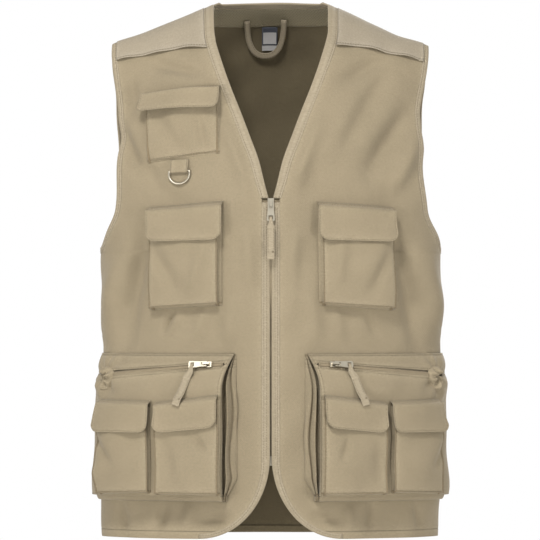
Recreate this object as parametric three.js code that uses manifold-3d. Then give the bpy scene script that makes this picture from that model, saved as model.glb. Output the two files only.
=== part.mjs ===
// Utility work vest in cotton twill, worn shape, front zip closed.
// Millimetres, +Z up, the front faces -Y. "right" and "left" are the wearer's: right is -X.
// Heights are measured up from the hem. The finished group is lowered so that its origin lies
// midway between the high points of the shoulders, where the vest hangs on its wearer.
import * as THREE from 'three';
import * as BufferGeometryUtils from 'three/addons/utils/BufferGeometryUtils.js';
import Module from 'manifold-3d';

// Body
const LENGTH = 690; // hem to the high point of the shoulder
const UNDERARM = 366; // hem to the bottom of the armhole
const HALF_WIDTH = 222; // centre to side seam at the underarm
const FRONT_DEPTH = 128; // how far the chest stands in front of the side seams
const BACK_DEPTH = 124; // how far the back stands behind them
const SIDE_RADIUS = 90; // rounding of the flank, seen from above
const FRONT_FULLNESS = 2; // 2 is an ellipse from chest to shoulder, more is squarer
const BACK_FULLNESS = 2.8;
const SHOULDER_HALF = 194; // centre to the armhole edge on the shoulder
const SHOULDER_DROP = 53; // fall of the shoulder from neck to armhole
const SHOULDER_START = 72; // centre to the high point of the shoulder line
const NECK_HALF = 86.6; // centre to the neck edge of the panels on the shoulder
const BACK_NECK_DEPTH = 50; // how far the back neck lies behind the shoulder line
const BACK_NECK_RISE = 6; // how far the back neck stands above the shoulder line

// Cloth
const TWILL = 1.2; // one layer of twill
const DOUBLE_TWILL = 2.4; // a flap or tab, sewn of two layers
const TAPE = 2.6; // binding folded round an edge
const CLEAR = 0.3; // gap between pieces that are sewn together

// Front edge, from the neck down to the rounded corner
const ZIP_TOP = 436;
const NECK_OPENING_HALF = 74.2; // inner edge of the neck binding on the shoulder
const NECK_BINDING_WIDTH = 12.4; // measured level
const FRONT_GAP = 2; // between the two front edges
const FRONT_BAND_WIDTH = 10; // beside the zip
const CORNER_BAND_WIDTH = 6; // round the lower corner
const CORNER_WIDTH = 90;
const CORNER_HEIGHT = 106;
const ARM_BINDING_WIDTH = 8;

// Front zip
const ZIP_TAPE_WIDTH = 12;
const COIL_WIDTH = 5;
const COIL_THICKNESS = 1.8;
const STOP_WIDTH = 5.4;
const STOP_HEIGHT = 12;
const STOP_THICKNESS = 3;

// Slider, pull and tab, the same on all three zips
const SLIDER_LENGTH = 13;
const SLIDER_WIDTH = 8;
const SLIDER_THICKNESS = 2.6;
const CROWN_LENGTH = 9;
const CROWN_WIDTH = 3.4;
const CROWN_HEIGHT = 4.2;
const CROWN_METAL = 1.1;
const PULL_LENGTH = 23;
const PULL_WIDTH = 10.4;
const PULL_NECK_WIDTH = 7.4;
const PULL_METAL = 1.2;
const TAB_WIDTH = 10;
const TAB_LENGTH = 54;

// Ring under the chest pocket
const WEBBING_WIDTH = 25;
const WEBBING_DROP = 15;
const RING_WIRE = 2.5;
const RING_HEIGHT = 19;
const RING_GIRTH = 119; // along the front, from the centre to the ring

// Hanger loop and labels inside the back neck
const FACING_FIRST_ROW = 8; // the row of the back panel where the facing's lower edge lies
const HANGER_WIDTH = 7;
const HANGER_SPAN = 56;
const HANGER_DROP = 50;
const HANGER_SHIFT = -7; // middle of the loop, off centre
const LABEL_WIDTH = 20.5;
const LABEL_HEIGHT = 23;
const LABEL_SHIFT = -1.4;
const SIZE_LABEL_HEIGHT = 7;
const LABEL_THICKNESS = 1;

// Body sections. rise: 0 hem, 1 underarm, 2 shoulder. The rest are shares of the sizes above.
const BODY_SECTIONS = [
  { rise: 0, width: 0.966, front: 0.96, back: 0.97 },
  { rise: 0.27, width: 0.977, front: 0.975, back: 0.985 },
  { rise: 0.73, width: 0.973, front: 0.97, back: 0.95 },
  { rise: 0.87, width: 0.982, front: 0.985, back: 0.96 },
  { rise: 1, width: 1, front: 1, back: 0.98 },
  { rise: 1.5, width: 0.985, front: 1, back: 1 },
  { rise: 2, width: 0.965, front: 0.98, back: 1 },
];

// Armhole edge of the panels. climb: share of the way from underarm to shoulder.
const ARM_EDGE = [
  { climb: 0, width: 1 },
  { climb: 0.02, width: 0.986 },
  { climb: 0.085, width: 0.95 },
  { climb: 0.2, width: 0.888 },
  { climb: 0.413, width: 0.863 },
  { climb: 0.6, width: 0.86 },
  { climb: 0.717, width: 0.863 },
  { climb: 0.839, width: 0.879 },
  { climb: 0.94, width: 0.886 },
  { climb: 1, width: 0.886 },
];

// Neck opening from the zip's top to the shoulder, as shares of its height and half width
const NECK_EDGE = [
  { climb: 0, width: 0.035 },
  { climb: 0.071, width: 0.101 },
  { climb: 0.2, width: 0.212 },
  { climb: 0.324, width: 0.369 },
  { climb: 0.443, width: 0.523 },
  { climb: 0.573, width: 0.7 },
  { climb: 0.722, width: 0.878 },
  { climb: 0.838, width: 0.985 },
  { climb: 0.925, width: 1 },
  { climb: 1, width: 1 },
];

// Rows of the panels: shares of the way up to the underarm, then from there to the shoulder
const BACK_LOWER_ROWS = [0, 0.12, 0.27, 0.45, 0.62, 0.8];
const FRONT_LOWER_ROWS = [0.44, 0.64, 0.82];
const UPPER_ROWS = [0, 0.02, 0.085, 0.2, 0.413, 0.6, 0.717, 0.839, 0.93, 0.98, 0.996, 1];
const CORNER_TURNS = [90, 68, 48, 28, 10, 0];

// Front yoke: its lower edge falls short of the shoulder line by this much, from neck to armhole
const YOKE_EDGE = [
  { share: 0, drop: 54 },
  { share: 0.08, drop: 50 },
  { share: 0.24, drop: 43 },
  { share: 0.34, drop: 40 },
  { share: 0.6, drop: 35 },
  { share: 0.8, drop: 30 },
  { share: 1, drop: 27 },
];
const BACK_YOKE_CLIMB = 0.72;

// Pockets. girth runs round the body from the centre front, heights from the hem.
// Each pouch: inner and outer ends of its face, bottom and top at both ends.
const UPPER_POUCH = {
  inner: 68, outer: 163, bottomInner: 496, bottomOuter: 484, topInner: 573, topOuter: 563,
  depth: 11, footSide: 2, footBottom: 2,
};
const UPPER_FLAP = {
  inner: 65, outer: 170, topInner: 581, topOuter: 571, bottomInner: 549, bottomOuter: 543, corner: 8,
};
const CHEST_POUCH = {
  inner: 66, outer: 160, bottomInner: 302, bottomOuter: 296, topInner: 424, topOuter: 416,
  depth: 12, footSide: 4, footBottom: 3,
};
const CHEST_FLAP = {
  inner: 60, outer: 162, topInner: 432.5, topOuter: 425, bottomInner: 383, bottomOuter: 380, corner: 13,
};
const CARGO_TOP = 237;
const CARGO_TOP_INNER = 46; // girth of the inner top corner
const CARGO_CORNER_FALL = 45; // height over which the face's upper inner corner rounds off
const CARGO_FOOT_INNER = 42; // girth of the bellows' foot
const CARGO_FACE_INNER = 59; // girth of the face's inner edge
const CARGO_BOTTOM = 55;
const CARGO_FOOT_BOTTOM = 4;
const CARGO_DEPTH = 25;
const CARGO_SIDE_FOOT = 2.4; // the bellows' foot behind the outer edge, at the side seam
const CARGO_ZIP_INNER = { girth: 66, height: 223.5 };
const CARGO_ZIP_OUTER = { girth: 212, height: 210 };
const CARGO_ZIP_WIDTH = 5.2;
const CARGO_SLIDER_GIRTH = 79;
const INNER_POUCH = {
  inner: 62, outer: 141, bottomInner: 59, bottomOuter: 59, topInner: 178, topOuter: 169,
  depth: 9, footSide: 1.5, footBottom: 1.5,
};
const INNER_FLAP = {
  inner: 63, outer: 140, topInner: 185, topOuter: 175, bottomInner: 143, bottomOuter: 135, corner: 13,
};
const OUTER_POUCH = {
  inner: 150, outer: 222, bottomInner: 61, bottomOuter: 58, topInner: 170, topOuter: 171,
  depth: 8, footSide: 1.5, footBottom: 1.5,
};
const OUTER_FLAP = {
  inner: 147, outer: 224, topInner: 177, topOuter: 178, bottomInner: 136, bottomOuter: 136, corner: 11,
};

// Swell of the large pocket: shares of its depth, by share of the way round and of its height
const CARGO_ROUND = [
  { share: 0, swell: 1 },
  { share: 0.4, swell: 0.97 },
  { share: 0.7, swell: 0.62 },
  { share: 1, swell: 0.36 },
];
const CARGO_FALL = [
  { share: 0, swell: 1 },
  { share: 0.74, swell: 1 },
  { share: 0.86, swell: 0.72 },
  { share: 0.93, swell: 0.5 },
  { share: 1, swell: 0.06 },
];
// Swell of a small pouch up its height, closing a little at its mouth
const POUCH_FALL = [
  { share: 0, swell: 1 },
  { share: 0.6, swell: 1 },
  { share: 1, swell: 0.6 },
];

const RIGHT = -1;
const LEFT = 1;

const materials = {
  twill: new THREE.MeshStandardMaterial({ color: 0xa99a7b, roughness: 0.9, metalness: 0 }),
  yoke: new THREE.MeshStandardMaterial({ color: 0xbcad90, roughness: 0.9, metalness: 0 }),
  tape: new THREE.MeshStandardMaterial({ color: 0xb2a488, roughness: 0.85, metalness: 0 }),
  nickel: new THREE.MeshStandardMaterial({ color: 0xdcdad4, roughness: 0.28, metalness: 1 }),
  coil: new THREE.MeshStandardMaterial({ color: 0x8c7f63, roughness: 0.55, metalness: 0 }),
  label: new THREE.MeshStandardMaterial({ color: 0x23262e, roughness: 0.7, metalness: 0 }),
  paper: new THREE.MeshStandardMaterial({ color: 0xd8d5cc, roughness: 0.7, metalness: 0 }),
};

const vest = new THREE.Group();
vest.position.z = -LENGTH;

function add(name, geometry, material) {
  const mesh = new THREE.Mesh(geometry, material);
  mesh.name = name;
  vest.add(mesh);
  return mesh;
}

const mix = (from, to, share) => from + (to - from) * share;
const sideName = (side) => (side === RIGHT ? 'right' : 'left');

// Reads a column of a table between its rows, along a smooth curve
function readTable(rows, place, at, column) {
  const last = rows.length - 1;
  if (at <= rows[0][place]) return rows[0][column];
  if (at >= rows[last][place]) return rows[last][column];
  let k = 0;
  while (at > rows[k + 1][place]) k += 1;
  const slope = (i) => {
    const before = rows[Math.max(0, i - 1)];
    const after = rows[Math.min(last, i + 1)];
    return (after[column] - before[column]) / (after[place] - before[place]);
  };
  const span = rows[k + 1][place] - rows[k][place];
  const u = (at - rows[k][place]) / span;
  const start = (1 + 2 * u) * (1 - u) ** 2 * rows[k][column] + u * (1 - u) ** 2 * span * slope(k);
  const end = u * u * (3 - 2 * u) * rows[k + 1][column] + u * u * (u - 1) * span * slope(k + 1);
  return start + end;
}

// Section of the body seen from above: a wide front arc that runs on into the arc of the flank
function ovalAt(level, isBack) {
  const rise = level <= UNDERARM ? level / UNDERARM : 1 + (level - UNDERARM) / (LENGTH - UNDERARM);
  const width = HALF_WIDTH * readTable(BODY_SECTIONS, 'rise', rise, 'width');
  const depthShare = readTable(BODY_SECTIONS, 'rise', rise, isBack ? 'back' : 'front');
  const depth = (isBack ? BACK_DEPTH : FRONT_DEPTH) * depthShare;
  const reach = width - SIDE_RADIUS;
  const radius = (reach ** 2 + depth ** 2 - SIDE_RADIUS ** 2) / (2 * (depth - SIDE_RADIUS));
  const turn = Math.atan2(reach, radius - depth);
  const wide = radius * turn;
  return { width, depth, reach, radius, turn, wide, girth: wide + SIDE_RADIUS * (Math.PI / 2 - turn) };
}

function ovalPoint(oval, girth) {
  const along = Math.abs(girth);
  if (along <= oval.wide) {
    const angle = girth / oval.radius;
    return { x: oval.radius * Math.sin(angle), depth: oval.depth - oval.radius * (1 - Math.cos(angle)) };
  }
  const angle = oval.turn + (along - oval.wide) / SIDE_RADIUS;
  const x = oval.reach + SIDE_RADIUS * Math.sin(angle);
  return { x: Math.sign(girth) * x, depth: SIDE_RADIUS * Math.cos(angle) };
}

// Girth at which the section reaches a distance from the centre
function girthAt(x, oval) {
  const wideReach = oval.radius * Math.sin(oval.turn);
  if (x <= wideReach) return oval.radius * Math.asin(x / oval.radius);
  const sine = Math.min(1, (x - oval.reach) / SIDE_RADIUS);
  return oval.wide + SIDE_RADIUS * (Math.asin(sine) - oval.turn);
}

// Height of the shoulder line, or of the raised back neck between the shoulders
function crest(x, isBack) {
  const away = Math.abs(x);
  if (away > SHOULDER_START) {
    return LENGTH - (SHOULDER_DROP * (away - SHOULDER_START)) / (SHOULDER_HALF - SHOULDER_START);
  }
  return isBack ? LENGTH + BACK_NECK_RISE * (1 - (away / SHOULDER_START) ** 2) ** 2 : LENGTH;
}

// Point of the body's outer face. half says which: side, back or front, and its seam allowance.
function skin(half, girth, level) {
  const spot = ovalPoint(ovalAt(level, half.back), girth);
  const climb = Math.max(0, level - UNDERARM) / (LENGTH - UNDERARM);
  const fullness = half.back ? BACK_FULLNESS : FRONT_FULLNESS;
  const closing = Math.max(0, 1 - climb ** fullness) ** (1 / fullness);
  const depth = spot.depth * closing + half.seam;
  const height = level <= UNDERARM ? level : UNDERARM + (crest(spot.x, half.back) - UNDERARM) * climb;
  return new THREE.Vector3(half.side * spot.x, half.back ? depth : -depth, height);
}

function skinNormal(half, girth, level) {
  const step = 0.5;
  const up = skin(half, girth, Math.min(level + step, LENGTH));
  up.sub(skin(half, girth, Math.max(level - step, 0)));
  const along = skin(half, girth + step, level).sub(skin(half, girth - step, level));
  const normal = along.cross(up).normalize();
  const here = skin(half, girth, level);
  const outward = normal.x * here.x + normal.y * here.y;
  return outward < 0 ? normal.negate() : normal;
}

function offSkin(half, girth, level, out) {
  return skin(half, girth, level).addScaledVector(skinNormal(half, girth, level), out);
}

// Level whose row passes through a height at this girth: rows rise with the shoulder's slope
function levelAt(half, girth, height) {
  if (height <= UNDERARM) return height;
  const spot = ovalPoint(ovalAt(height, half.back), girth);
  const share = (height - UNDERARM) / (crest(spot.x, half.back) - UNDERARM);
  return UNDERARM + share * (LENGTH - UNDERARM);
}

function atHeight(half, girth, height, out) {
  return offSkin(half, girth, levelAt(half, girth, height), out);
}

const frontHalf = (side) => ({ side, back: false, seam: CLEAR / 2 });
const backHalf = () => ({ side: 1, back: true, seam: CLEAR / 2 });

// Closed solid from points and triangles, turned so that its faces point out
function solid(points, faces) {
  let volume = 0;
  for (let k = 0; k < faces.length; k += 3) {
    const [a, b, c] = [points[faces[k]], points[faces[k + 1]], points[faces[k + 2]]];
    volume += a.dot(new THREE.Vector3().crossVectors(b, c));
  }
  const index = volume > 0 ? faces : [...faces].reverse();
  const geometry = new THREE.BufferGeometry().setFromPoints(points);
  geometry.setIndex(index);
  geometry.computeVertexNormals();
  return geometry;
}

// Cloth sheet between two grids of points, closed round its edge
function clothSolid(outer, inner) {
  const columns = outer.length;
  const rows = outer[0].length;
  const points = [...outer.flat(), ...inner.flat()];
  const at = (layer, i, j) => (layer * columns + i) * rows + j;
  const faces = [];
  const quad = (a, b, c, d) => faces.push(a, b, c, a, c, d);
  for (let i = 0; i < columns - 1; i += 1) {
    for (let j = 0; j < rows - 1; j += 1) {
      quad(at(0, i, j), at(0, i + 1, j), at(0, i + 1, j + 1), at(0, i, j + 1));
      quad(at(1, i, j), at(1, i, j + 1), at(1, i + 1, j + 1), at(1, i + 1, j));
    }
    quad(at(0, i + 1, 0), at(0, i, 0), at(1, i, 0), at(1, i + 1, 0));
    quad(at(0, i, rows - 1), at(0, i + 1, rows - 1), at(1, i + 1, rows - 1), at(1, i, rows - 1));
  }
  for (let j = 0; j < rows - 1; j += 1) {
    quad(at(0, 0, j), at(0, 0, j + 1), at(1, 0, j + 1), at(1, 0, j));
    quad(at(0, columns - 1, j + 1), at(0, columns - 1, j), at(1, columns - 1, j), at(1, columns - 1, j + 1));
  }
  return solid(points, faces);
}

// Cloth sheet from a function of column and row that gives its outer and inner points
function clothFrom(columns, rows, pair) {
  const outer = [];
  const inner = [];
  for (let i = 0; i < columns; i += 1) {
    const pairs = Array.from({ length: rows }, (_, j) => pair(i, j));
    outer.push(pairs.map((ends) => ends[0]));
    inner.push(pairs.map((ends) => ends[1]));
  }
  return clothSolid(outer, inner);
}

// Bar swept through rings of points: looped, or with a flat cap at each end
function sweptSolid(rings, looped) {
  const sides = rings[0].length;
  const points = rings.flat();
  const faces = [];
  const steps = looped ? rings.length : rings.length - 1;
  for (let k = 0; k < steps; k += 1) {
    const next = (k + 1) % rings.length;
    for (let s = 0; s < sides; s += 1) {
      const t = (s + 1) % sides;
      const [a, b, c, d] = [k * sides + s, k * sides + t, next * sides + t, next * sides + s];
      faces.push(a, b, c, a, c, d);
    }
  }
  if (!looped) {
    const end = (rings.length - 1) * sides;
    for (let s = 1; s < sides - 1; s += 1) {
      faces.push(0, s + 1, s);
      faces.push(end, end + s, end + s + 1);
    }
  }
  return solid(points, faces);
}

const wasm = await Module();
wasm.setup();

function toManifold(geometry) {
  const bare = geometry.clone();
  bare.deleteAttribute('normal');
  bare.deleteAttribute('uv');
  const merged = BufferGeometryUtils.mergeVertices(bare, 1e-4);
  const vertProperties = new Float32Array(merged.attributes.position.array);
  const triVerts = new Uint32Array(merged.index.array);
  return new wasm.Manifold(new wasm.Mesh({ numProp: 3, vertProperties, triVerts }));
}

function joined(geometries) {
  const whole = geometries.map(toManifold).reduce((sum, next) => sum.add(next)).getMesh();
  const geometry = new THREE.BufferGeometry();
  geometry.setAttribute('position', new THREE.BufferAttribute(new Float32Array(whole.vertProperties), 3));
  geometry.setIndex(new THREE.BufferAttribute(new Uint32Array(whole.triVerts), 1));
  return geometry;
}

// Panel edges
const levelOfClimb = (climb) => UNDERARM + climb * (LENGTH - UNDERARM);
const climbOfLevel = (level) => (level - UNDERARM) / (LENGTH - UNDERARM);

function armGirth(half, level) {
  const oval = ovalAt(level, half.back);
  if (level <= UNDERARM) return oval.girth;
  return girthAt(HALF_WIDTH * readTable(ARM_EDGE, 'climb', climbOfLevel(level), 'width'), oval);
}

function neckOutline(height) {
  const climb = (height - ZIP_TOP) / (LENGTH - ZIP_TOP);
  return NECK_OPENING_HALF * readTable(NECK_EDGE, 'climb', climb, 'width');
}

// Stations down the front edge: x and height of the opening's outline and of the panel's edge
function neckStations() {
  const heights = UPPER_ROWS.map(levelOfClimb).filter((level) => level > ZIP_TOP);
  return [ZIP_TOP, ...heights].map((height) => {
    const outline = neckOutline(height);
    const width = mix(FRONT_BAND_WIDTH, NECK_BINDING_WIDTH, Math.min(1, (height - ZIP_TOP) / (LENGTH / 10)));
    return { outline: { x: outline, height }, edge: { x: outline + width, height } };
  });
}

function bandStations() {
  const startX = FRONT_GAP / 2;
  const corner = CORNER_TURNS.map((degrees) => {
    const angle = THREE.MathUtils.degToRad(degrees);
    const width = mix(FRONT_BAND_WIDTH, CORNER_BAND_WIDTH, Math.sin(angle));
    const onArc = (inset) => ({
      x: startX + CORNER_WIDTH - (CORNER_WIDTH - inset) * Math.cos(angle),
      height: CORNER_HEIGHT - (CORNER_HEIGHT - inset) * Math.sin(angle),
    });
    return { outline: onArc(0), edge: onArc(width) };
  });
  const straight = FRONT_LOWER_ROWS.map((share) => share * UNDERARM);
  const heights = [...straight, UNDERARM, levelOfClimb(UPPER_ROWS[1]), levelOfClimb(UPPER_ROWS[2])];
  const upper = [...heights, levelOfClimb(UPPER_ROWS[3])].map((height) => ({
    outline: { x: startX, height },
    edge: { x: startX + FRONT_BAND_WIDTH, height },
  }));
  return [...corner, ...upper];
}

// Panels
const FRONT_COLUMNS = [0, 0.1, 0.22, 0.36, 0.5, 0.6, 0.68, 0.76, 0.84, 0.92, 1];

function frontPanel(side) {
  const half = frontHalf(side);
  const stations = [...bandStations(), ...neckStations().slice(1)];
  const hemRow = { edge: { x: FRONT_GAP / 2 + CORNER_WIDTH, height: 0 } };
  const rows = [hemRow, ...stations];
  return clothFrom(FRONT_COLUMNS.length, rows.length, (i, j) => {
    const { x, height } = rows[j].edge;
    const oval = ovalAt(height, false);
    const girth = mix(girthAt(x, oval), armGirth(half, height), FRONT_COLUMNS[i]);
    return [offSkin(half, girth, height, 0), offSkin(half, girth, height, -TWILL)];
  });
}

// Level of the back panel's neck edge at a distance from the centre
function backNeckLevel(x) {
  const away = Math.min(1, Math.abs(x) / NECK_HALF);
  const share = (BACK_NECK_DEPTH * Math.sqrt(1 - away ** 2)) / BACK_DEPTH;
  return levelOfClimb((1 - share ** BACK_FULLNESS) ** (1 / BACK_FULLNESS));
}

const NECK_SHARE = NECK_HALF / (HALF_WIDTH * ARM_EDGE[ARM_EDGE.length - 1].width);
const NECK_COLUMNS = [0, 0.35, 0.65, 0.87, 1].map((share) => share * NECK_SHARE);
const OUTER_COLUMNS = [0.25, 0.5, 0.75, 1].map((share) => mix(NECK_SHARE, 1, share));
const HALF_COLUMNS = [...NECK_COLUMNS, ...OUTER_COLUMNS];
const BACK_COLUMNS = [...HALF_COLUMNS.slice(1).reverse().map((share) => -share), ...HALF_COLUMNS];

// Back grid: a column share and a row's climb, topped by the neck edge or the shoulder
function backSpot(half, share, climb) {
  const neckX = (share * NECK_HALF) / NECK_SHARE;
  const top = Math.abs(share) < NECK_SHARE ? climbOfLevel(backNeckLevel(neckX)) : 1;
  const level = levelOfClimb(climb * top);
  return { girth: share * armGirth(half, levelOfClimb(climb)), level };
}

function backPanel() {
  const half = backHalf();
  const lower = BACK_LOWER_ROWS.map((share) => ({ level: share * UNDERARM }));
  const rows = [...lower, ...UPPER_ROWS.map((climb) => ({ climb }))];
  return clothFrom(BACK_COLUMNS.length, rows.length, (i, j) => {
    const share = BACK_COLUMNS[i];
    const row = rows[j];
    const isLower = row.climb === undefined;
    const spot = isLower
      ? { girth: share * armGirth(half, row.level), level: row.level }
      : backSpot(half, share, row.climb);
    return [offSkin(half, spot.girth, spot.level, 0), offSkin(half, spot.girth, spot.level, -TWILL)];
  });
}

// Yokes lie on the panels, out to the same edges
function frontYoke(side) {
  const half = frontHalf(side);
  const up = [0, 0.25, 0.48, 0.67, 0.82, 0.92, 0.98, 1];
  return clothFrom(FRONT_COLUMNS.length, up.length, (i, j) => {
    const drop = readTable(YOKE_EDGE, 'share', FRONT_COLUMNS[i], 'drop');
    const level = LENGTH - drop * (1 - up[j]);
    const neckEdge = girthAt(neckOutline(level) + NECK_BINDING_WIDTH, ovalAt(level, false));
    const girth = mix(neckEdge, armGirth(half, level), FRONT_COLUMNS[i]);
    return [offSkin(half, girth, level, CLEAR + TWILL), offSkin(half, girth, level, CLEAR)];
  });
}

function backYoke() {
  const half = backHalf();
  const up = [BACK_YOKE_CLIMB, 0.839, 0.93, 0.98, 0.996, 1];
  return clothFrom(BACK_COLUMNS.length, up.length, (i, j) => {
    const spot = backSpot(half, BACK_COLUMNS[i], up[j]);
    return [
      offSkin(half, spot.girth, spot.level, CLEAR + TWILL),
      offSkin(half, spot.girth, spot.level, CLEAR),
    ];
  });
}

// Binding between an outline and a panel's edge, folded so that it is thickest in the middle
function bindingRing(edgePoint, outlinePoint, normal) {
  const across = outlinePoint.clone().sub(edgePoint).normalize();
  const start = edgePoint.clone().addScaledVector(across, CLEAR);
  const fold = outlinePoint.clone().addScaledVector(across, -TAPE / 2);
  const middle = -TWILL / 2;
  const place = (point, out) => point.clone().addScaledVector(normal, middle + out);
  return [
    place(start, TAPE / 2),
    place(fold, TAPE / 2),
    place(outlinePoint, 0),
    place(fold, -TAPE / 2),
    place(start, -TAPE / 2),
  ];
}

function bandRing(half, station) {
  const spot = (end) => {
    const girth = girthAt(end.x, ovalAt(end.height, false));
    return { girth, level: end.height };
  };
  const edge = spot(station.edge);
  const outline = spot(station.outline);
  const normal = skinNormal(half, edge.girth, edge.level);
  return bindingRing(skin(half, edge.girth, edge.level), skin(half, outline.girth, outline.level), normal);
}

function frontBand(side) {
  return sweptSolid(bandStations().map((station) => bandRing(frontHalf(side), station)), false);
}

function neckBinding(side) {
  const stations = neckStations();
  stations[0].edge.height += CLEAR;
  stations[0].outline.height += CLEAR;
  return sweptSolid(stations.map((station) => bandRing(frontHalf(side), station)), false);
}

// The same place on the other side of the shoulder seam
const overSeam = ({ point }) => ({ point: new THREE.Vector3(point.x, -point.y, point.z) });

// Binding along edge points that carry their normals, on the side that inward points to
function bindingAlong(edge, width, towards, looped) {
  const rings = edge.map((here, k) => {
    const before = edge[k - 1] ?? (looped ? edge[edge.length - 1] : overSeam(edge[1]));
    const after = edge[k + 1] ?? (looped ? edge[0] : overSeam(edge[k - 1]));
    const along = after.point.clone().sub(before.point).normalize();
    const across = new THREE.Vector3().crossVectors(along, here.normal).normalize();
    if (across.dot(towards(here.point)) < 0) across.negate();
    return bindingRing(here.point, here.point.clone().addScaledVector(across, width), here.normal);
  });
  return sweptSolid(rings, looped);
}

function edgePoint(half, girth, level) {
  return { point: skin(half, girth, level), normal: skinNormal(half, girth, level) };
}

function armholeBinding(side) {
  const front = frontHalf(side);
  const back = { side, back: true, seam: CLEAR / 2 };
  const levels = UPPER_ROWS.map(levelOfClimb);
  const up = levels.map((level) => edgePoint(front, armGirth(front, level), level));
  const down = levels.map((level) => edgePoint(back, armGirth(back, level), level)).reverse();
  const middle = new THREE.Vector3(side * HALF_WIDTH, 0, mix(UNDERARM, LENGTH - SHOULDER_DROP, 0.5));
  return bindingAlong([...up, ...down], ARM_BINDING_WIDTH, (point) => middle.clone().sub(point), true);
}

function backNeckBinding() {
  const half = backHalf();
  const shares = BACK_COLUMNS.filter((share) => Math.abs(share) <= NECK_SHARE);
  const edge = shares.map((share) => {
    const spot = backSpot(half, share, 1);
    return edgePoint(half, spot.girth, spot.level);
  });
  const middle = new THREE.Vector3(0, 0, LENGTH);
  const width = NECK_HALF - NECK_OPENING_HALF;
  return bindingAlong(edge, width, (point) => middle.clone().sub(point), false);
}

// Inside of the back neck
function neckFacing() {
  const half = backHalf();
  const shares = BACK_COLUMNS.filter((share) => Math.abs(share) < NECK_SHARE);
  const climbs = UPPER_ROWS.slice(FACING_FIRST_ROW);
  const near = TWILL + CLEAR;
  return clothFrom(shares.length, climbs.length, (i, j) => {
    const { girth, level } = backSpot(half, shares[i], climbs[j]);
    return [offSkin(half, girth, level, -near), offSkin(half, girth, level, -near - TWILL)];
  });
}

// Level where the facing ends, at the centre
const facingEnd = () => backSpot(backHalf(), 0, UPPER_ROWS[FACING_FIRST_ROW]).level;

function hangerLoop() {
  const half = backHalf();
  const top = mix(facingEnd(), backNeckLevel(0), 0.5);
  const steps = 16;
  const rings = Array.from({ length: steps + 1 }, (_, k) => {
    const turn = (Math.PI * k) / steps;
    const swing = Math.sign(Math.cos(turn)) * Math.abs(Math.cos(turn)) ** 0.8;
    const fall = Math.sin(turn) ** 0.8;
    const spotAt = (reach, drop) => ({
      girth: HANGER_SHIFT + (swing * reach) / 2,
      level: top - fall * drop,
    });
    const outer = spotAt(HANGER_SPAN, HANGER_DROP);
    const inner = spotAt(HANGER_SPAN - 2 * HANGER_WIDTH, HANGER_DROP - HANGER_WIDTH);
    const away = 3 * (TWILL + CLEAR) + fall * TAPE;
    return [
      offSkin(half, outer.girth, outer.level, -away),
      offSkin(half, inner.girth, inner.level, -away),
      offSkin(half, inner.girth, inner.level, -away - TWILL),
      offSkin(half, outer.girth, outer.level, -away - TWILL),
    ];
  });
  return sweptSolid(rings, false);
}

function labelPiece(top, height, away) {
  const half = backHalf();
  return clothFrom(3, 3, (i, j) => {
    const girth = LABEL_SHIFT + (LABEL_WIDTH * (i - 1)) / 2;
    const level = top - height * (1 - j / 2);
    return [offSkin(half, girth, level, -away), offSkin(half, girth, level, -away - LABEL_THICKNESS)];
  });
}

// Front zip
function zipTape(side) {
  const half = frontHalf(side);
  const stop = CORNER_HEIGHT - STOP_HEIGHT;
  const heights = [stop, ...FRONT_LOWER_ROWS.map((share) => share * UNDERARM), UNDERARM, ZIP_TOP - FRONT_GAP];
  const near = TAPE / 2 + TWILL / 2 + CLEAR;
  const inner = STOP_WIDTH / 2 + CLEAR;
  return clothFrom(3, heights.length, (i, j) => {
    const girth = inner + (ZIP_TAPE_WIDTH * i) / 2;
    return [
      offSkin(half, girth, heights[j], -near),
      offSkin(half, girth, heights[j], -near - LABEL_THICKNESS),
    ];
  });
}

function zipCoil() {
  const half = frontHalf(LEFT);
  const heights = [CORNER_HEIGHT + CLEAR, ...FRONT_LOWER_ROWS.map((share) => share * UNDERARM), UNDERARM];
  const top = ZIP_TOP - SLIDER_LENGTH - 3 * CLEAR;
  const near = TAPE / 2 + TWILL / 2 + CLEAR;
  const rings = [...heights, top].map((height) => {
    const corner = (across, out) => offSkin(half, across, height, out);
    const reach = COIL_WIDTH / 2;
    return [
      corner(-reach, -near), corner(reach, -near),
      corner(reach, -near - COIL_THICKNESS), corner(-reach, -near - COIL_THICKNESS),
    ];
  });
  return sweptSolid(rings, false);
}

function zipStop() {
  const shape = new THREE.BoxGeometry(STOP_WIDTH, STOP_THICKNESS, STOP_HEIGHT);
  const near = TAPE / 2 + TWILL / 2 + CLEAR;
  const spot = offSkin(frontHalf(LEFT), 0, CORNER_HEIGHT - STOP_HEIGHT / 2, -near - STOP_THICKNESS / 2);
  return shape.translate(0, spot.y, spot.z);
}

// Frame on the surface: X points the way a pull lies, Y out of the cloth, Z across
function frameOn(half, ground, girth, height, out, lean) {
  const place = (g, h) => atHeight(half, g, h, ground(g, h));
  const origin = place(girth, height);
  const down = place(girth, height - 2).sub(place(girth, height + 2)).normalize();
  const sideways = place(girth + 2, height).sub(place(girth - 2, height)).multiplyScalar(half.side);
  const outward = new THREE.Vector3().crossVectors(down, sideways).normalize();
  if (outward.y > 0) outward.negate();
  origin.addScaledVector(outward, out);
  const along = down.applyAxisAngle(outward, half.side * THREE.MathUtils.degToRad(lean));
  const across = new THREE.Vector3().crossVectors(along, outward).normalize();
  return new THREE.Matrix4().makeBasis(along, outward, across).setPosition(origin);
}

function extrudeAcross(shape, width) {
  const geometry = new THREE.ExtrudeGeometry(shape, { depth: width, bevelEnabled: false, curveSegments: 6 });
  return geometry.translate(0, 0, -width / 2);
}

function rectangle(x0, y0, x1, y1) {
  const shape = new THREE.Shape();
  shape.moveTo(x0, y0).lineTo(x1, y0).lineTo(x1, y1).lineTo(x0, y1).closePath();
  return shape;
}

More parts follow.
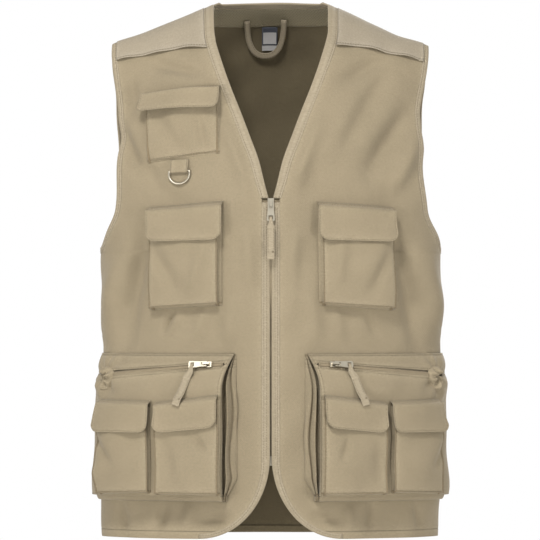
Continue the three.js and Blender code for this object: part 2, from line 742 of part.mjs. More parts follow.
// Slider, with its crown standing on it. The hinge of its pull lies at the frame's origin.
const HINGE_ABOVE_SLIDER = 0.4 * CROWN_HEIGHT;

function slider() {
  const top = -HINGE_ABOVE_SLIDER;
  const plate = rectangle(-SLIDER_LENGTH / 2, top - SLIDER_THICKNESS, SLIDER_LENGTH / 2, top);
  const crownTop = top + CROWN_HEIGHT;
  const crown = rectangle(-CROWN_LENGTH / 2, top - CLEAR, CROWN_LENGTH / 2, crownTop);
  const inside = CROWN_LENGTH / 2 - CROWN_METAL;
  crown.holes.push(rectangle(-inside, top, inside, crownTop - CROWN_METAL));
  return joined([extrudeAcross(plate, SLIDER_WIDTH), extrudeAcross(crown, CROWN_WIDTH)]);
}

// Pull plate: a bar through the crown, a slot that clears it, and a hole for the tab
const PULL_HOLE = { reach: 18.2, length: 4.8, width: 5.8 };

function pullPlate() {
  const bar = PULL_METAL / 2;
  const slotEnd = Math.hypot(CROWN_LENGTH / 2, CROWN_HEIGHT) + 2 * CLEAR;
  const slotHalf = CROWN_WIDTH / 2 + 2 * CLEAR;
  const neck = PULL_NECK_WIDTH / 2;
  const wide = PULL_WIDTH / 2;
  const bevel = 1.5;
  const outline = new THREE.Shape();
  outline.moveTo(-bar, -neck).lineTo(slotEnd, -neck).lineTo(PULL_LENGTH - bevel, -wide);
  outline.lineTo(PULL_LENGTH, -wide + bevel).lineTo(PULL_LENGTH, wide - bevel);
  outline.lineTo(PULL_LENGTH - bevel, wide).lineTo(slotEnd, neck).lineTo(-bar, neck).closePath();
  outline.holes.push(rectangle(bar, -slotHalf, slotEnd, slotHalf));
  const holeStart = PULL_HOLE.reach - PULL_HOLE.length / 2;
  const holeHalf = PULL_HOLE.width / 2;
  outline.holes.push(rectangle(holeStart, -holeHalf, holeStart + PULL_HOLE.length, holeHalf));
  const flat = extrudeAcross(outline, PULL_METAL);
  return flat.rotateX(Math.PI / 2);
}

// Tab threaded through the pull's hole. reach is measured from the hole along the tab.
const TAB_HOOK = [
  { reach: 10.5, out: -0.95, thick: 1.2, width: 7 },
  { reach: 1.8, out: -1.9, thick: 1.2, width: 3.6 },
  { reach: -0.1, out: -1.6, thick: 1.2, width: 3.6 },
  { reach: -0.6, out: 0, thick: 1.2, width: 3.6 },
  { reach: -0.1, out: 1.6, thick: 1.2, width: 3.6 },
  { reach: 1.8, out: 1.9, thick: 1.2, width: 3.6 },
  { reach: 10.5, out: 0.95, thick: 1.2, width: 8 },
];

// Rings of the hook, in a frame at the hole whose X points along the tab
function hookRings(frame) {
  return TAB_HOOK.map((station, k) => {
    const before = TAB_HOOK[Math.max(0, k - 1)];
    const after = TAB_HOOK[Math.min(TAB_HOOK.length - 1, k + 1)];
    const run = new THREE.Vector2(after.reach - before.reach, after.out - before.out).normalize();
    const middle = new THREE.Vector3(station.reach, station.out, 0);
    const up = new THREE.Vector3(-run.y, run.x, 0).multiplyScalar(station.thick / 2);
    const wide = new THREE.Vector3(0, 0, station.width / 2);
    const corner = (a, b) => {
      const spot = middle.clone().addScaledVector(up, a).addScaledVector(wide, b);
      return spot.applyMatrix4(frame);
    };
    return [corner(1, -1), corner(1, 1), corner(-1, 1), corner(-1, -1)];
  });
}

function stripRing(middle, along, outward) {
  const across = new THREE.Vector3().crossVectors(along, outward).normalize();
  const corner = (a, b) => middle.clone()
    .addScaledVector(outward, (a * DOUBLE_TWILL) / 2)
    .addScaledVector(across, (b * TAB_WIDTH) / 2);
  return [corner(1, -1), corner(1, 1), corner(-1, 1), corner(-1, -1)];
}

function mainTab(frame) {
  const hole = frame.clone().multiply(new THREE.Matrix4().makeTranslation(PULL_HOLE.reach, 0, 0));
  const along = new THREE.Vector3().setFromMatrixColumn(frame, 0);
  const outward = new THREE.Vector3().setFromMatrixColumn(frame, 1);
  const rings = [15, 30, 42, TAB_LENGTH].map((reach) => {
    const middle = new THREE.Vector3(reach, 0.4, 0).applyMatrix4(hole);
    return stripRing(middle, along, outward);
  });
  return sweptSolid([...hookRings(hole), ...rings], false);
}

// Pockets
const bodyGround = () => 0;

// Pouch: a face held out from its carrier by a gusset wall whose foot is sewn down
function pouch(half, size, ground) {
  const across = [0, 0.25, 0.5, 0.75, 1];
  const up = [0, 0.3, 0.6, 0.82, 1];
  return clothFrom(across.length + 2, up.length + 1, (i, j) => {
    const c = across[THREE.MathUtils.clamp(i - 1, 0, across.length - 1)];
    const r = up[Math.max(0, j - 1)];
    const pick = (tuck) => {
      let girth = mix(size.inner, size.outer, c);
      const bottom = mix(size.bottomInner, size.bottomOuter, c);
      let height = mix(bottom, mix(size.topInner, size.topOuter, c), r);
      if (i === 0) girth -= size.footSide;
      if (i === across.length + 1) girth += size.footSide;
      if (j === 0) height -= size.footBottom;
      if (i <= 1) girth += tuck;
      if (i >= across.length) girth -= tuck;
      if (j <= 1) height += tuck;
      const onFoot = i === 0 || i === across.length + 1 || j === 0;
      const face = size.depth * readTable(POUCH_FALL, 'share', r, 'swell') - tuck;
      return atHeight(half, girth, height, ground(girth, height) + (onFoot ? CLEAR : face));
    };
    return [pick(0), pick(TWILL)];
  });
}

// How far a flap's underside stands off its carrier, at a share of its height
function flapLift(size, share) {
  const flat = 0.86;
  const over = size.depth + CLEAR;
  if (share >= 1) return CLEAR;
  return share > flat ? mix(over, CLEAR, (share - flat) / (1 - flat)) : over;
}

function flap(half, size, under, ground) {
  const across = [0, 0.04, 0.13, 0.35, 0.65, 0.87, 0.96, 1];
  const up = [0, 0.45, 0.86, 1];
  return clothFrom(across.length, up.length, (i, j) => {
    const c = across[i];
    const girth = mix(size.inner, size.outer, c);
    const width = size.outer - size.inner;
    const nearEnd = Math.min(c, 1 - c) * width;
    const short = Math.max(0, 1 - nearEnd / size.corner);
    const round = size.corner * (1 - Math.sqrt(1 - short ** 2));
    const bottom = mix(size.bottomInner, size.bottomOuter, c) + round;
    const height = mix(bottom, mix(size.topInner, size.topOuter, c), up[j]);
    const lift = ground(girth, height) + flapLift(under, up[j]);
    return [
      atHeight(half, girth, height, lift + DOUBLE_TWILL),
      atHeight(half, girth, height, lift),
    ];
  });
}

const pocketGround = (girth, height) => cargoOut(girth, height) + CLEAR;

function flapPocket(name, half, pouchSize, flapSize, ground) {
  add(name.replace('#', 'pouch'), pouch(half, pouchSize, ground), materials.twill);
  add(name.replace('#', 'flap'), flap(half, flapSize, pouchSize, ground), materials.twill);
}

// Large pocket: girth of its face's inner edge, and how far its outer face stands off the body
function cargoInner(height) {
  const share = THREE.MathUtils.clamp((CARGO_TOP - height) / CARGO_CORNER_FALL, 0, 1);
  return mix(CARGO_TOP_INNER, CARGO_FACE_INNER, Math.sin((share * Math.PI) / 2));
}

const cargoSeam = (height) => ovalAt(height, false).girth - CARGO_SIDE_FOOT - TWILL;

function cargoOut(girth, height) {
  const around = (girth - CARGO_FACE_INNER) / (cargoSeam(height) - CARGO_FACE_INNER);
  const climb = (height - CARGO_BOTTOM) / (CARGO_TOP - CARGO_BOTTOM);
  const round = readTable(CARGO_ROUND, 'share', around, 'swell');
  const fall = readTable(CARGO_FALL, 'share', climb, 'swell');
  return CLEAR + TWILL + CARGO_DEPTH * round * fall;
}

const zipShare = (girth) => (girth - CARGO_ZIP_INNER.girth) / (CARGO_ZIP_OUTER.girth - CARGO_ZIP_INNER.girth);
const cargoZipHeight = (girth) => mix(CARGO_ZIP_INNER.height, CARGO_ZIP_OUTER.height, zipShare(girth));

// Girths of the large pocket's columns, foot to foot, at a height
function cargoColumns(height) {
  const zip = [0, 0.25, 0.5, 0.7, 0.85, 1].map((share) => (
    mix(CARGO_ZIP_INNER.girth, CARGO_ZIP_OUTER.girth, share)
  ));
  const seam = cargoSeam(height);
  const flank = [0.34, 0.68, 1].map((share) => mix(CARGO_ZIP_OUTER.girth, seam, share));
  return [cargoInner(height), ...zip, ...flank];
}

// Gap beside the zip: open along it, closed beyond its ends
function zipGap(column) {
  return column >= 1 && column <= 6 ? CARGO_ZIP_WIDTH / 2 : CLEAR / 2;
}

function cargoShell(half, heightsAt, hasBottom) {
  const faceColumns = cargoColumns(CARGO_TOP).length;
  const rows = heightsAt(0).length + (hasBottom ? 1 : 0);
  return clothFrom(faceColumns + 2, rows, (i, j) => {
    const column = THREE.MathUtils.clamp(i - 1, 0, faceColumns - 1);
    const row = hasBottom ? Math.max(0, j - 1) : j;
    const pick = (tuck) => {
      let height = heightsAt(column)[row];
      let girth = cargoColumns(height)[column];
      if (i === 0) girth = Math.min(girth - footRun(height), CARGO_TOP_INNER - 1);
      if (i === faceColumns + 1) girth += CARGO_SIDE_FOOT;
      const onBottomFoot = hasBottom && j === 0;
      if (onBottomFoot) height -= CARGO_FOOT_BOTTOM;
      if (i <= 1) girth += tuck;
      if (i >= faceColumns) girth -= tuck;
      if (hasBottom && j <= 1) height += tuck;
      const onFoot = i === 0 || i === faceColumns + 1 || onBottomFoot;
      return atHeight(half, girth, height, onFoot ? 2 * CLEAR : cargoOut(girth, height) - tuck);
    };
    return [pick(0), pick(TWILL)];
  });
}

// How far the bellows' foot runs towards the centre from the face's inner edge
function footRun(height) {
  return cargoInner(height) - mix(CARGO_TOP_INNER - 2, CARGO_FOOT_INNER, (CARGO_TOP - height) / CARGO_TOP);
}

function cargoGirthOf(column) {
  return cargoColumns(CARGO_ZIP_OUTER.height)[column];
}

function cargoPouch(half) {
  return cargoShell(half, (column) => {
    const top = cargoZipHeight(cargoGirthOf(column)) - zipGap(column);
    return [0, 0.3, 0.6, 0.82, 0.92, 1].map((share) => mix(CARGO_BOTTOM, top, share));
  }, true);
}

function cargoBand(half) {
  return cargoShell(half, (column) => {
    const bottom = cargoZipHeight(cargoGirthOf(column)) + zipGap(column);
    return [0, 0.5, 1].map((share) => mix(bottom, CARGO_TOP, share));
  }, false);
}

function cargoZip(half) {
  const steps = 10;
  const ends = { inner: CARGO_ZIP_INNER.girth + 1, outer: CARGO_ZIP_OUTER.girth - 1 };
  return clothFrom(steps + 1, 3, (i, j) => {
    const girth = mix(ends.inner, ends.outer, i / steps);
    const height = cargoZipHeight(girth) + (j - 1) * (CARGO_ZIP_WIDTH / 2 - CLEAR);
    const out = cargoOut(girth, height) - TWILL / 2;
    return [atHeight(half, girth, height, out), atHeight(half, girth, height, out - COIL_THICKNESS)];
  });
}

// Outermost layer over the large pocket at a spot: the pocket itself or the inner flap
function coverOut(girth, height) {
  const withinFlap = girth > INNER_FLAP.inner && girth < INNER_FLAP.outer;
  const onFlap = withinFlap && height < INNER_FLAP.topInner + TAB_WIDTH;
  const share = (height - INNER_FLAP.bottomInner) / (INNER_FLAP.topInner - INNER_FLAP.bottomInner);
  const extra = onFlap ? flapLift(INNER_POUCH, share) + DOUBLE_TWILL : 0;
  return cargoOut(girth, height) + extra;
}

const CARGO_PULL_LEAN = 86; // the way the pull lies, turned from straight down
const CARGO_TAB_LEAN = 80; // turn from the pull to the tab that hangs from it
const CARGO_TAB_TILT = 76; // slope of the hanging tab on the pocket, from level

function cargoHardware(side) {
  const half = frontHalf(side);
  const girth = CARGO_SLIDER_GIRTH;
  const height = cargoZipHeight(girth);
  const out = CLEAR + SLIDER_THICKNESS + HINGE_ABOVE_SLIDER;
  const frame = frameOn(half, cargoOut, girth, height, out, CARGO_PULL_LEAN);
  add(`cargo_slider_${sideName(side)}`, slider().applyMatrix4(frame), materials.nickel);
  add(`cargo_pull_${sideName(side)}`, pullPlate().applyMatrix4(frame), materials.nickel);
  const turn = new THREE.Matrix4().makeRotationY(-side * THREE.MathUtils.degToRad(CARGO_TAB_LEAN));
  const toHole = new THREE.Matrix4().makeTranslation(PULL_HOLE.reach, 0, 0);
  const hole = frame.clone().multiply(toHole).multiply(turn);
  add(`cargo_tab_${sideName(side)}`, cargoTab(half, hole, out + cargoOut(girth, height)), materials.twill);
  return frame;
}

function cargoTab(half, hole, out) {
  const tilt = THREE.MathUtils.degToRad(CARGO_TAB_TILT);
  const start = new THREE.Vector3().setFromMatrixPosition(hole);
  const girth = girthAt(Math.abs(start.x) - 4, ovalAt(start.z, false));
  const rings = [16, 25, 36, 45, TAB_LENGTH].map((reach) => {
    const at = { girth: girth + reach * Math.cos(tilt), height: start.z - reach * Math.sin(tilt) };
    const lift = Math.max(out, coverOut(at.girth, at.height) + DOUBLE_TWILL);
    const middle = atHeight(half, at.girth, at.height, lift);
    const next = atHeight(half, at.girth + Math.cos(tilt), at.height - Math.sin(tilt), lift);
    return stripRing(middle, next.sub(middle).normalize(), skinNormal(half, at.girth, at.height));
  });
  return sweptSolid([...hookRings(hole), ...rings], false);
}

// Ring and its webbing, under the chest pocket
function ringFrame() {
  const half = frontHalf(RIGHT);
  const share = (RING_GIRTH - UPPER_POUCH.inner) / (UPPER_POUCH.outer - UPPER_POUCH.inner);
  const slope = (UPPER_POUCH.bottomInner - UPPER_POUCH.bottomOuter) / (UPPER_POUCH.outer - UPPER_POUCH.inner);
  const corner = share * (UPPER_POUCH.outer - UPPER_POUCH.inner) + WEBBING_WIDTH / 2;
  const bottom = UPPER_POUCH.bottomInner - slope * corner - UPPER_POUCH.footBottom;
  const out = 2 * CLEAR + TWILL + RING_WIRE / 2;
  return frameOn(half, bodyGround, RING_GIRTH, bottom - WEBBING_DROP, out, 0);
}

function ringLoop(frame) {
  const inside = RING_WIRE / 2 + CLEAR;
  const outside = inside + TWILL;
  const shape = new THREE.Shape();
  shape.moveTo(-WEBBING_DROP + CLEAR, -outside).lineTo(0, -outside);
  shape.absarc(0, 0, outside, -Math.PI / 2, Math.PI / 2, false);
  shape.lineTo(-WEBBING_DROP / 2, outside - inside / 2);
  shape.lineTo(-WEBBING_DROP + CLEAR, -outside + DOUBLE_TWILL);
  shape.closePath();
  const hole = new THREE.Path();
  hole.absarc(0, 0, inside, 0, 2 * Math.PI, false);
  shape.holes.push(hole);
  return extrudeAcross(shape, WEBBING_WIDTH - 2 * CLEAR).applyMatrix4(frame);
}

function dRing(frame) {
  const reach = (WEBBING_WIDTH + RING_WIRE) / 2 + CLEAR;
  const drop = RING_HEIGHT - RING_WIRE;
  const corner = 3;
  const path = [new THREE.Vector2(0, -reach), new THREE.Vector2(0, reach)];
  const steps = 14;
  for (let k = 0; k <= steps; k += 1) {
    const angle = (Math.PI * k) / steps;
    path.push(new THREE.Vector2(corner + (drop - corner) * Math.sin(angle) ** 0.9, reach * Math.cos(angle)));
  }
  const rings = path.map((here, k) => {
    const before = path[(k + path.length - 1) % path.length];
    const after = path[(k + 1) % path.length];
    const run = after.clone().sub(before).normalize();
    const side = new THREE.Vector3(-run.y, 0, run.x);
    return Array.from({ length: 6 }, (_, s) => {
      const angle = (Math.PI * s) / 3;
      return new THREE.Vector3(here.x, 0, here.y)
        .addScaledVector(side, (Math.cos(angle) * RING_WIRE) / 2)
        .add(new THREE.Vector3(0, (Math.sin(angle) * RING_WIRE) / 2, 0))
        .applyMatrix4(frame);
    });
  });
  return sweptSolid(rings, true);
}

// Assembly
add('back_panel', backPanel(), materials.twill);
add('back_yoke', backYoke(), materials.yoke);
add('back_neck_binding', backNeckBinding(), materials.tape);
add('neck_facing', neckFacing(), materials.tape);
add('hanger_loop', hangerLoop(), materials.tape);
const labelAway = 2 * (TWILL + CLEAR) + CLEAR;
add('neck_label', labelPiece(facingEnd(), LABEL_HEIGHT, labelAway), materials.label);
const sizeLabelTop = facingEnd() - LABEL_HEIGHT - CLEAR;
add('size_label', labelPiece(sizeLabelTop, SIZE_LABEL_HEIGHT, labelAway), materials.paper);

for (const side of [RIGHT, LEFT]) {
  const half = frontHalf(side);
  const name = sideName(side);
  add(`front_panel_${name}`, frontPanel(side), materials.twill);
  add(`front_yoke_${name}`, frontYoke(side), materials.yoke);
  add(`neck_binding_${name}`, neckBinding(side), materials.tape);
  add(`front_band_${name}`, frontBand(side), materials.tape);
  add(`armhole_binding_${name}`, armholeBinding(side), materials.tape);
  add(`zip_tape_${name}`, zipTape(side), materials.tape);
  flapPocket(`chest_#_${name}`, half, CHEST_POUCH, CHEST_FLAP, bodyGround);
  add(`cargo_pouch_${name}`, cargoPouch(half), materials.twill);
  add(`cargo_band_${name}`, cargoBand(half), materials.twill);
  add(`cargo_zip_${name}`, cargoZip(half), materials.coil);
  flapPocket(`inner_#_${name}`, half, INNER_POUCH, INNER_FLAP, pocketGround);
  flapPocket(`outer_#_${name}`, half, OUTER_POUCH, OUTER_FLAP, pocketGround);
  cargoHardware(side);
}

flapPocket('upper_#', frontHalf(RIGHT), UPPER_POUCH, UPPER_FLAP, bodyGround);
const ringPlace = ringFrame();
add('ring_loop', ringLoop(ringPlace), materials.tape);
add('d_ring', dRing(ringPlace), materials.nickel);

add('zip_coil', zipCoil(), materials.coil);
add('zip_stop', zipStop(), materials.nickel);
const zipFace = (TAPE - TWILL) / 2 + CLEAR + SLIDER_THICKNESS + HINGE_ABOVE_SLIDER;
const mainFrame = frameOn(frontHalf(LEFT), bodyGround, 0, ZIP_TOP - SLIDER_LENGTH / 2, zipFace, 0);
add('main_slider', slider().applyMatrix4(mainFrame), materials.nickel);
add('main_pull', pullPlate().applyMatrix4(mainFrame), materials.nickel);
add('main_tab', mainTab(mainFrame), materials.twill);

export default vest;
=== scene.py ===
"""Utility work vest in washed beige twill: cloth, stitching, zips and metal.

Lengths are in millimetres until a mesh is made. Heights are measured up from the hem, and
girths run round the body from the centre front or centre back. "right" is the wearer's: -X.
"""
import math
from collections import namedtuple
from types import SimpleNamespace

import bpy
import numpy as np
from mathutils import Matrix, Vector


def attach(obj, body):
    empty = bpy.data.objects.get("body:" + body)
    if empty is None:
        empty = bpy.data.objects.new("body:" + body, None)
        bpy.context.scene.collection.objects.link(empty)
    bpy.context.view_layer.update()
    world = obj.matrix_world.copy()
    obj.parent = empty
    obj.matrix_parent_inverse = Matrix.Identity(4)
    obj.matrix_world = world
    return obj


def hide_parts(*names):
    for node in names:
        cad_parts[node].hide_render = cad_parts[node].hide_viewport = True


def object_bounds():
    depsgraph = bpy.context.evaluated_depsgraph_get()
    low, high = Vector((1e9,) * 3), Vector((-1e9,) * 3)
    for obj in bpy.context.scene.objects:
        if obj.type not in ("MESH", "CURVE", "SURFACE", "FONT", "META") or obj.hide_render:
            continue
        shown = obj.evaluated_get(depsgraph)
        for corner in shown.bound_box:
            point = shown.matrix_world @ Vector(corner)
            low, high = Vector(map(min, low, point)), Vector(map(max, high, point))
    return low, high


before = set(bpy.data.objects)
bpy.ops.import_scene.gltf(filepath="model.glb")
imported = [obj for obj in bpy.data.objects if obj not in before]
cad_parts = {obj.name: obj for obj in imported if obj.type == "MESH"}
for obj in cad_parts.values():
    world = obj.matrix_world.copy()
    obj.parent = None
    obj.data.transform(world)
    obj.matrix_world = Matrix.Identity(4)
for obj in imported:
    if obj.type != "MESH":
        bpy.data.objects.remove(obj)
cad_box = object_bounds()

MM = 0.001

# Body
LENGTH = 690  # hem to the high point of the shoulder
UNDERARM = 366  # hem to the bottom of the armhole
RISE = LENGTH - UNDERARM
HALF_WIDTH = 222
FRONT_DEPTH = 128  # how far the chest stands in front of the side seams
BACK_DEPTH = 124
SIDE_RADIUS = 90
FRONT_FULLNESS = 2  # how squarely the front turns over the shoulder
BACK_FULLNESS = 2.8
SHOULDER_HALF = 194
SHOULDER_DROP = 53
SHOULDER_START = 72  # centre to the high point of the shoulder line
NECK_HALF = 86.6
BACK_NECK_DEPTH = 50  # how far the back neck lies behind the shoulder line
BACK_NECK_RISE = 6
TWILL = 1.2  # one layer of twill
DOUBLE_TWILL = 2.4  # a flap or tab, sewn of two layers
TAPE = 2.6  # binding folded round an edge
CLEAR = 0.3  # gap between pieces that are sewn together
ZIP_TOP = 436
NECK_OPENING_HALF = 74.2
NECK_BINDING_WIDTH = 12.4
FRONT_GAP = 2
FRONT_BAND_WIDTH = 10
CORNER_BAND_WIDTH = 6
CORNER_WIDTH = 90
CORNER_HEIGHT = 106
ARM_BINDING_WIDTH = 8
HEM_STITCH = 9.5
YOKE_STITCH = 3.2  # the same from a yoke's lower edge
YOKE_COLUMN = 20  # the column that a yoke's row of stitches is fitted to
FRONT_YOKE_LIFT = 3.8  # how far a yoke's lower edge stands off the panel
BACK_YOKE_LIFT = 1.6
YOKE_LIFT_FADE = 9
SEAM_FADE = 4.5  # the puckers beside a seam fade out over about this width
STITCH_INSET = 2.0  # rows of stitches in from the edges of pockets and flaps
FLAP_TOP_STITCH = 3.0
FLAP_EDGE_ZONE = 6.5  # a flap's grid is finer within this much of its edge

# Heights of the first rows of points above the hem
FRONT_HEM_ROWS = (0, 0.3, 0.9, 2.5, 5, 5.9, 6.1, 6.4, 6.9, 7.6, 8.7, HEM_STITCH, 10.3, 12, 14.5)
BACK_HEM_ROWS = (0, 0.3, 0.9, 2.5, 5, 7.5, 8.7, HEM_STITCH, 10.3, 12, 14.5)

# rise: 0 hem, 1 underarm, 2 shoulder. The rest are shares of the sizes above.
BODY_SECTIONS = {
    "rise": (0, 0.27, 0.73, 0.87, 1, 1.5, 2),
    "width": (0.966, 0.977, 0.973, 0.982, 1, 0.985, 0.965),
    "front": (0.96, 0.975, 0.97, 0.985, 1, 1, 0.98),
    "back": (0.97, 0.985, 0.95, 0.96, 0.98, 1, 1),
}
ARM_EDGE = {
    "climb": (0, 0.02, 0.085, 0.2, 0.413, 0.6, 0.717, 0.839, 0.94, 1),
    "width": (1, 0.986, 0.95, 0.888, 0.863, 0.86, 0.863, 0.879, 0.886, 0.886),
}
NECK_EDGE = {
    "climb": (0, 0.071, 0.2, 0.324, 0.443, 0.573, 0.722, 0.838, 0.925, 1),
    "width": (0.035, 0.101, 0.212, 0.369, 0.523, 0.7, 0.878, 0.985, 1, 1),
}
YOKE_EDGE = {
    "share": (0, 0.08, 0.24, 0.34, 0.6, 0.8, 1),
    "drop": (54, 50, 43, 40, 35, 30, 27),
}
BACK_YOKE_CLIMB = 0.72

Pouch = namedtuple(
    "Pouch", "inner outer bottom_inner bottom_outer top_inner top_outer depth foot_side foot_bottom"
)
Flap = namedtuple("Flap", "inner outer top_inner top_outer bottom_inner bottom_outer corner")
UPPER_POUCH = Pouch(68, 163, 496, 484, 573, 563, 11, 2, 2)
UPPER_FLAP = Flap(65, 170, 581, 571, 549, 543, 8)
CHEST_POUCH = Pouch(66, 160, 302, 296, 424, 416, 12, 4, 3)
CHEST_FLAP = Flap(60, 162, 432.5, 425, 383, 380, 13)
INNER_POUCH = Pouch(62, 141, 59, 59, 178, 169, 9, 1.5, 1.5)
INNER_FLAP = Flap(63, 140, 185, 175, 143, 135, 13)
OUTER_POUCH = Pouch(150, 222, 61, 58, 170, 171, 8, 1.5, 1.5)
OUTER_FLAP = Flap(147, 224, 177, 178, 136, 136, 11)
POUCH_FALL = {"share": (0, 0.6, 1), "swell": (1, 1, 0.6)}

CARGO_TOP = 237
CARGO_TOP_INNER = 46
CARGO_FOOT_INNER = 42
CARGO_FACE_INNER = 59
CARGO_CORNER_FALL = 45
CARGO_BOTTOM = 55
CARGO_FOOT_BOTTOM = 4
CARGO_DEPTH = 25
CARGO_SIDE_FOOT = 2.4
BELLOWS_CLOSING = 22  # height over which the bellows closes at the pocket's bottom
ZIP_INNER = SimpleNamespace(girth=66, height=223.5)
ZIP_OUTER = SimpleNamespace(girth=212, height=210)
CARGO_ZIP_WIDTH = 5.2
ZIP_TUCK = 7  # how far the zip runs on under the cloth at each end
ZIP_END_STITCH = 5.0
ZIP_END_REACH = 4.8
# Across the zip: two halves of the coil in the middle, and tape that falls away beside them
ZIP_PROFILE = {
    "across": (-4.2, -2.7, -1.3, -0.6, -0.2, 0.2, 0.6, 1.3, 2.7, 4.2),
    "rise": (-3.0, -2.1, 0.1, 0.62, 0.4, 0.4, 0.62, 0.1, -2.1, -3.0),
}
CARGO_TEETH_PITCH = 1.9
MAIN_TEETH_PITCH = 1.6
CARGO_ROUND = {"share": (0, 0.4, 0.7, 1), "swell": (1, 0.97, 0.62, 0.36)}
CARGO_FALL = {"share": (0, 0.74, 0.86, 0.93, 1), "swell": (1, 1, 0.72, 0.5, 0.06)}

# Bellows of the large pocket from its foot to the face's edge. run: share of the way out to
# the foot, stand: share of the face's depth. It folds out once and then in under the face.
BELLOWS = {
    "way": (0, 0.18, 0.33, 0.5, 0.68, 0.85, 1),
    "run": (1, 0.62, 0.45, 0.22, 0.06, -0.2, 0),
    "stand": (0.02, 0.2, 0.03, 0.5, 0.05, 0.5, 1),
}
# The same for its bottom, where it shows as one rounded welt
BOTTOM_FOLD = {
    "way": (0, 0.3, 0.6, 0.85, 1),
    "run": (1, 0.9, 0.25, -0.4, 0),
    "stand": (0.02, 0.34, 0.5, 0.62, 1),
}
# Gusset of a small pouch: pulled in under the face
GUSSET = {
    "way": (0, 0.35, 0.7, 1),
    "run": (1, -0.5, -1.0, 0),
    "stand": (0.02, 0.3, 0.62, 1),
}
GUSSET_STEPS = 7

# Large pocket's cloth: the faces' outer end, places where it wrinkles or lies flat, and rows
CARGO_FACE_OUTER = 236
GATHER_SPOT = SimpleNamespace(girth=226, height=211)
TACK_SPOT = SimpleNamespace(girth=68, height=220)
SLIDER_SPOT = SimpleNamespace(girth=79, height=222)
SLACK_HEIGHT = 188
GATHER = SimpleNamespace(
    girth=224, height=208, half_width=14, half_height=13, dome=8.0, pit=3.4, fold=6.5
)
POUCH_ROWS = (*np.linspace(0, 0.955, 48), 0.968, 0.976, 0.984, 0.992, 0.997, 1)
BAND_ROWS = (0, 0.02, 0.06, 0.11, 0.17, 0.24, 0.32, 0.4, 0.48, 0.56, 0.64, 0.72, 0.8, 0.87, 0.91, 0.95, 1)

PULL_HOLE_REACH = 18.2
CROWN_HEIGHT = 4.2
HINGE_ABOVE_SLIDER = 0.4 * CROWN_HEIGHT
SLIDER_LENGTH = 13
SLIDER_THICKNESS = 2.6
TAB_WIDTH = 10
TAB_LENGTH = 54
CARGO_PULL_LEAN = 86
CARGO_TAB_LEAN = 80
CARGO_TAB_TILT = 76
WEBBING_WIDTH = 25
WEBBING_DROP = 15
WEBBING_STITCH = 1.8
RING_WIRE = 2.5
RING_HEIGHT = 19
RING_GIRTH = 119
HANGER_WIDTH = 7
HANGER_SPAN = 56
HANGER_DROP = 50
HANGER_SHIFT = -7
HANGER_LENGTH = 140
HANGER_COLUMNS = 7
HANGER_ROWS = 61
FACING_START = 0.93
LABEL_WIDTH = 20.5
LABEL_HEIGHT = 23
LABEL_SHIFT = -1.4
SIZE_LABEL_HEIGHT = 7
LABEL_THICKNESS = 1
STOP_WIDTH = 5.4
STOP_HEIGHT = 12
COIL_WIDTH = 5
COIL_THICKNESS = 1.8
ZIP_BEHIND = TAPE / 2 + TWILL / 2 + CLEAR  # how far the front zip lies behind the cloth's face
ZIP_TAPE = 0.9

# Soft folds of the front, seen from in front: ends as distance from the centre and height,
# half width and how far the cloth stands out. The first list is the wearer's right.
Crease = namedtuple("Crease", "x0 z0 x1 z1 width rise")
CREASE_DEPTH = 4.2
RIGHT_CREASES = (
    Crease(162, 405, 192, 250, 13, -3.2),
    Crease(204, 350, 213, 262, 11, 1.8),
    Crease(168, 482, 120, 440, 13, -2.4),
    Crease(193, 528, 172, 476, 9, -2.2),
    Crease(126, 290, 139, 266, 3.6, -1.3),
    Crease(117, 286, 131, 262, 5, 0.9),
    Crease(85, 293, 97, 246, 9, 1.5),
    Crease(50, 312, 56, 240, 10, 1.2),
    Crease(60, 536, 28, 448, 10, 1.6),
    Crease(150, 612, 92, 596, 8, -1.6),
    Crease(180, 590, 178, 545, 8, -1.4),
    Crease(88, 25, 50, 27, 6, -1.4),
    Crease(192, 44, 190, 12, 6, -1.5),
    Crease(137, 46, 144, 12, 7, -1.6),
    Crease(104, 44, 106, 18, 7, 1.2),
    Crease(30, 400, 24, 320, 9, 1.3),
    Crease(203, 130, 187, 98, 4, -1.3),
    Crease(196, 96, 204, 72, 6, 0.9),
    Crease(88, 130, 78, 114, 3.5, -1.2),
    Crease(126, 128, 116, 72, 8, -0.9),
    Crease(150, 376, 116, 318, 9, -1.2),
    Crease(84, 380, 96, 322, 8, 1.0),
    Crease(92, 540, 84, 498, 6, -1.2),
    Crease(144, 546, 118, 498, 9, -1.1),
    Crease(214, 212, 192, 188, 5, -1.5),
    Crease(213, 204, 206, 180, 4, 1.2),
    Crease(150, 205, 112, 190, 6, -0.8),
)
LEFT_CREASES = (
    Crease(160, 402, 188, 246, 12, -2.8),
    Crease(203, 352, 212, 268, 11, 1.9),
    Crease(176, 548, 128, 470, 14, -2.6),
    Crease(150, 600, 92, 500, 13, -1.8),
    Crease(188, 508, 160, 450, 10, 1.7),
    Crease(120, 288, 136, 262, 4, -1.2),
    Crease(83, 292, 92, 250, 9, 1.5),
    Crease(54, 318, 58, 246, 10, 1.1),
    Crease(62, 538, 30, 450, 10, 1.8),
    Crease(145, 618, 96, 590, 9, -1.4),
    Crease(86, 24, 52, 29, 6, -1.3),
    Crease(188, 42, 193, 14, 6, -1.3),
    Crease(132, 46, 126, 14, 7, -1.5),
    Crease(100, 42, 98, 16, 7, 1.3),
    Crease(31, 396, 26, 310, 9, 1.2),
    Crease(206, 126, 192, 90, 4.5, -1.2),
    Crease(90, 128, 82, 100, 4, -1.1),
    Crease(124, 124, 130, 74, 8, -0.8),
    Crease(148, 370, 124, 316, 8, -1.1),
    Crease(90, 384, 84, 330, 8, 1.1),
    Crease(213, 213, 190, 190, 5, -1.4),
    Crease(214, 203, 208, 178, 4, 1.3),
    Crease(140, 207, 104, 188, 6, -0.9),
)
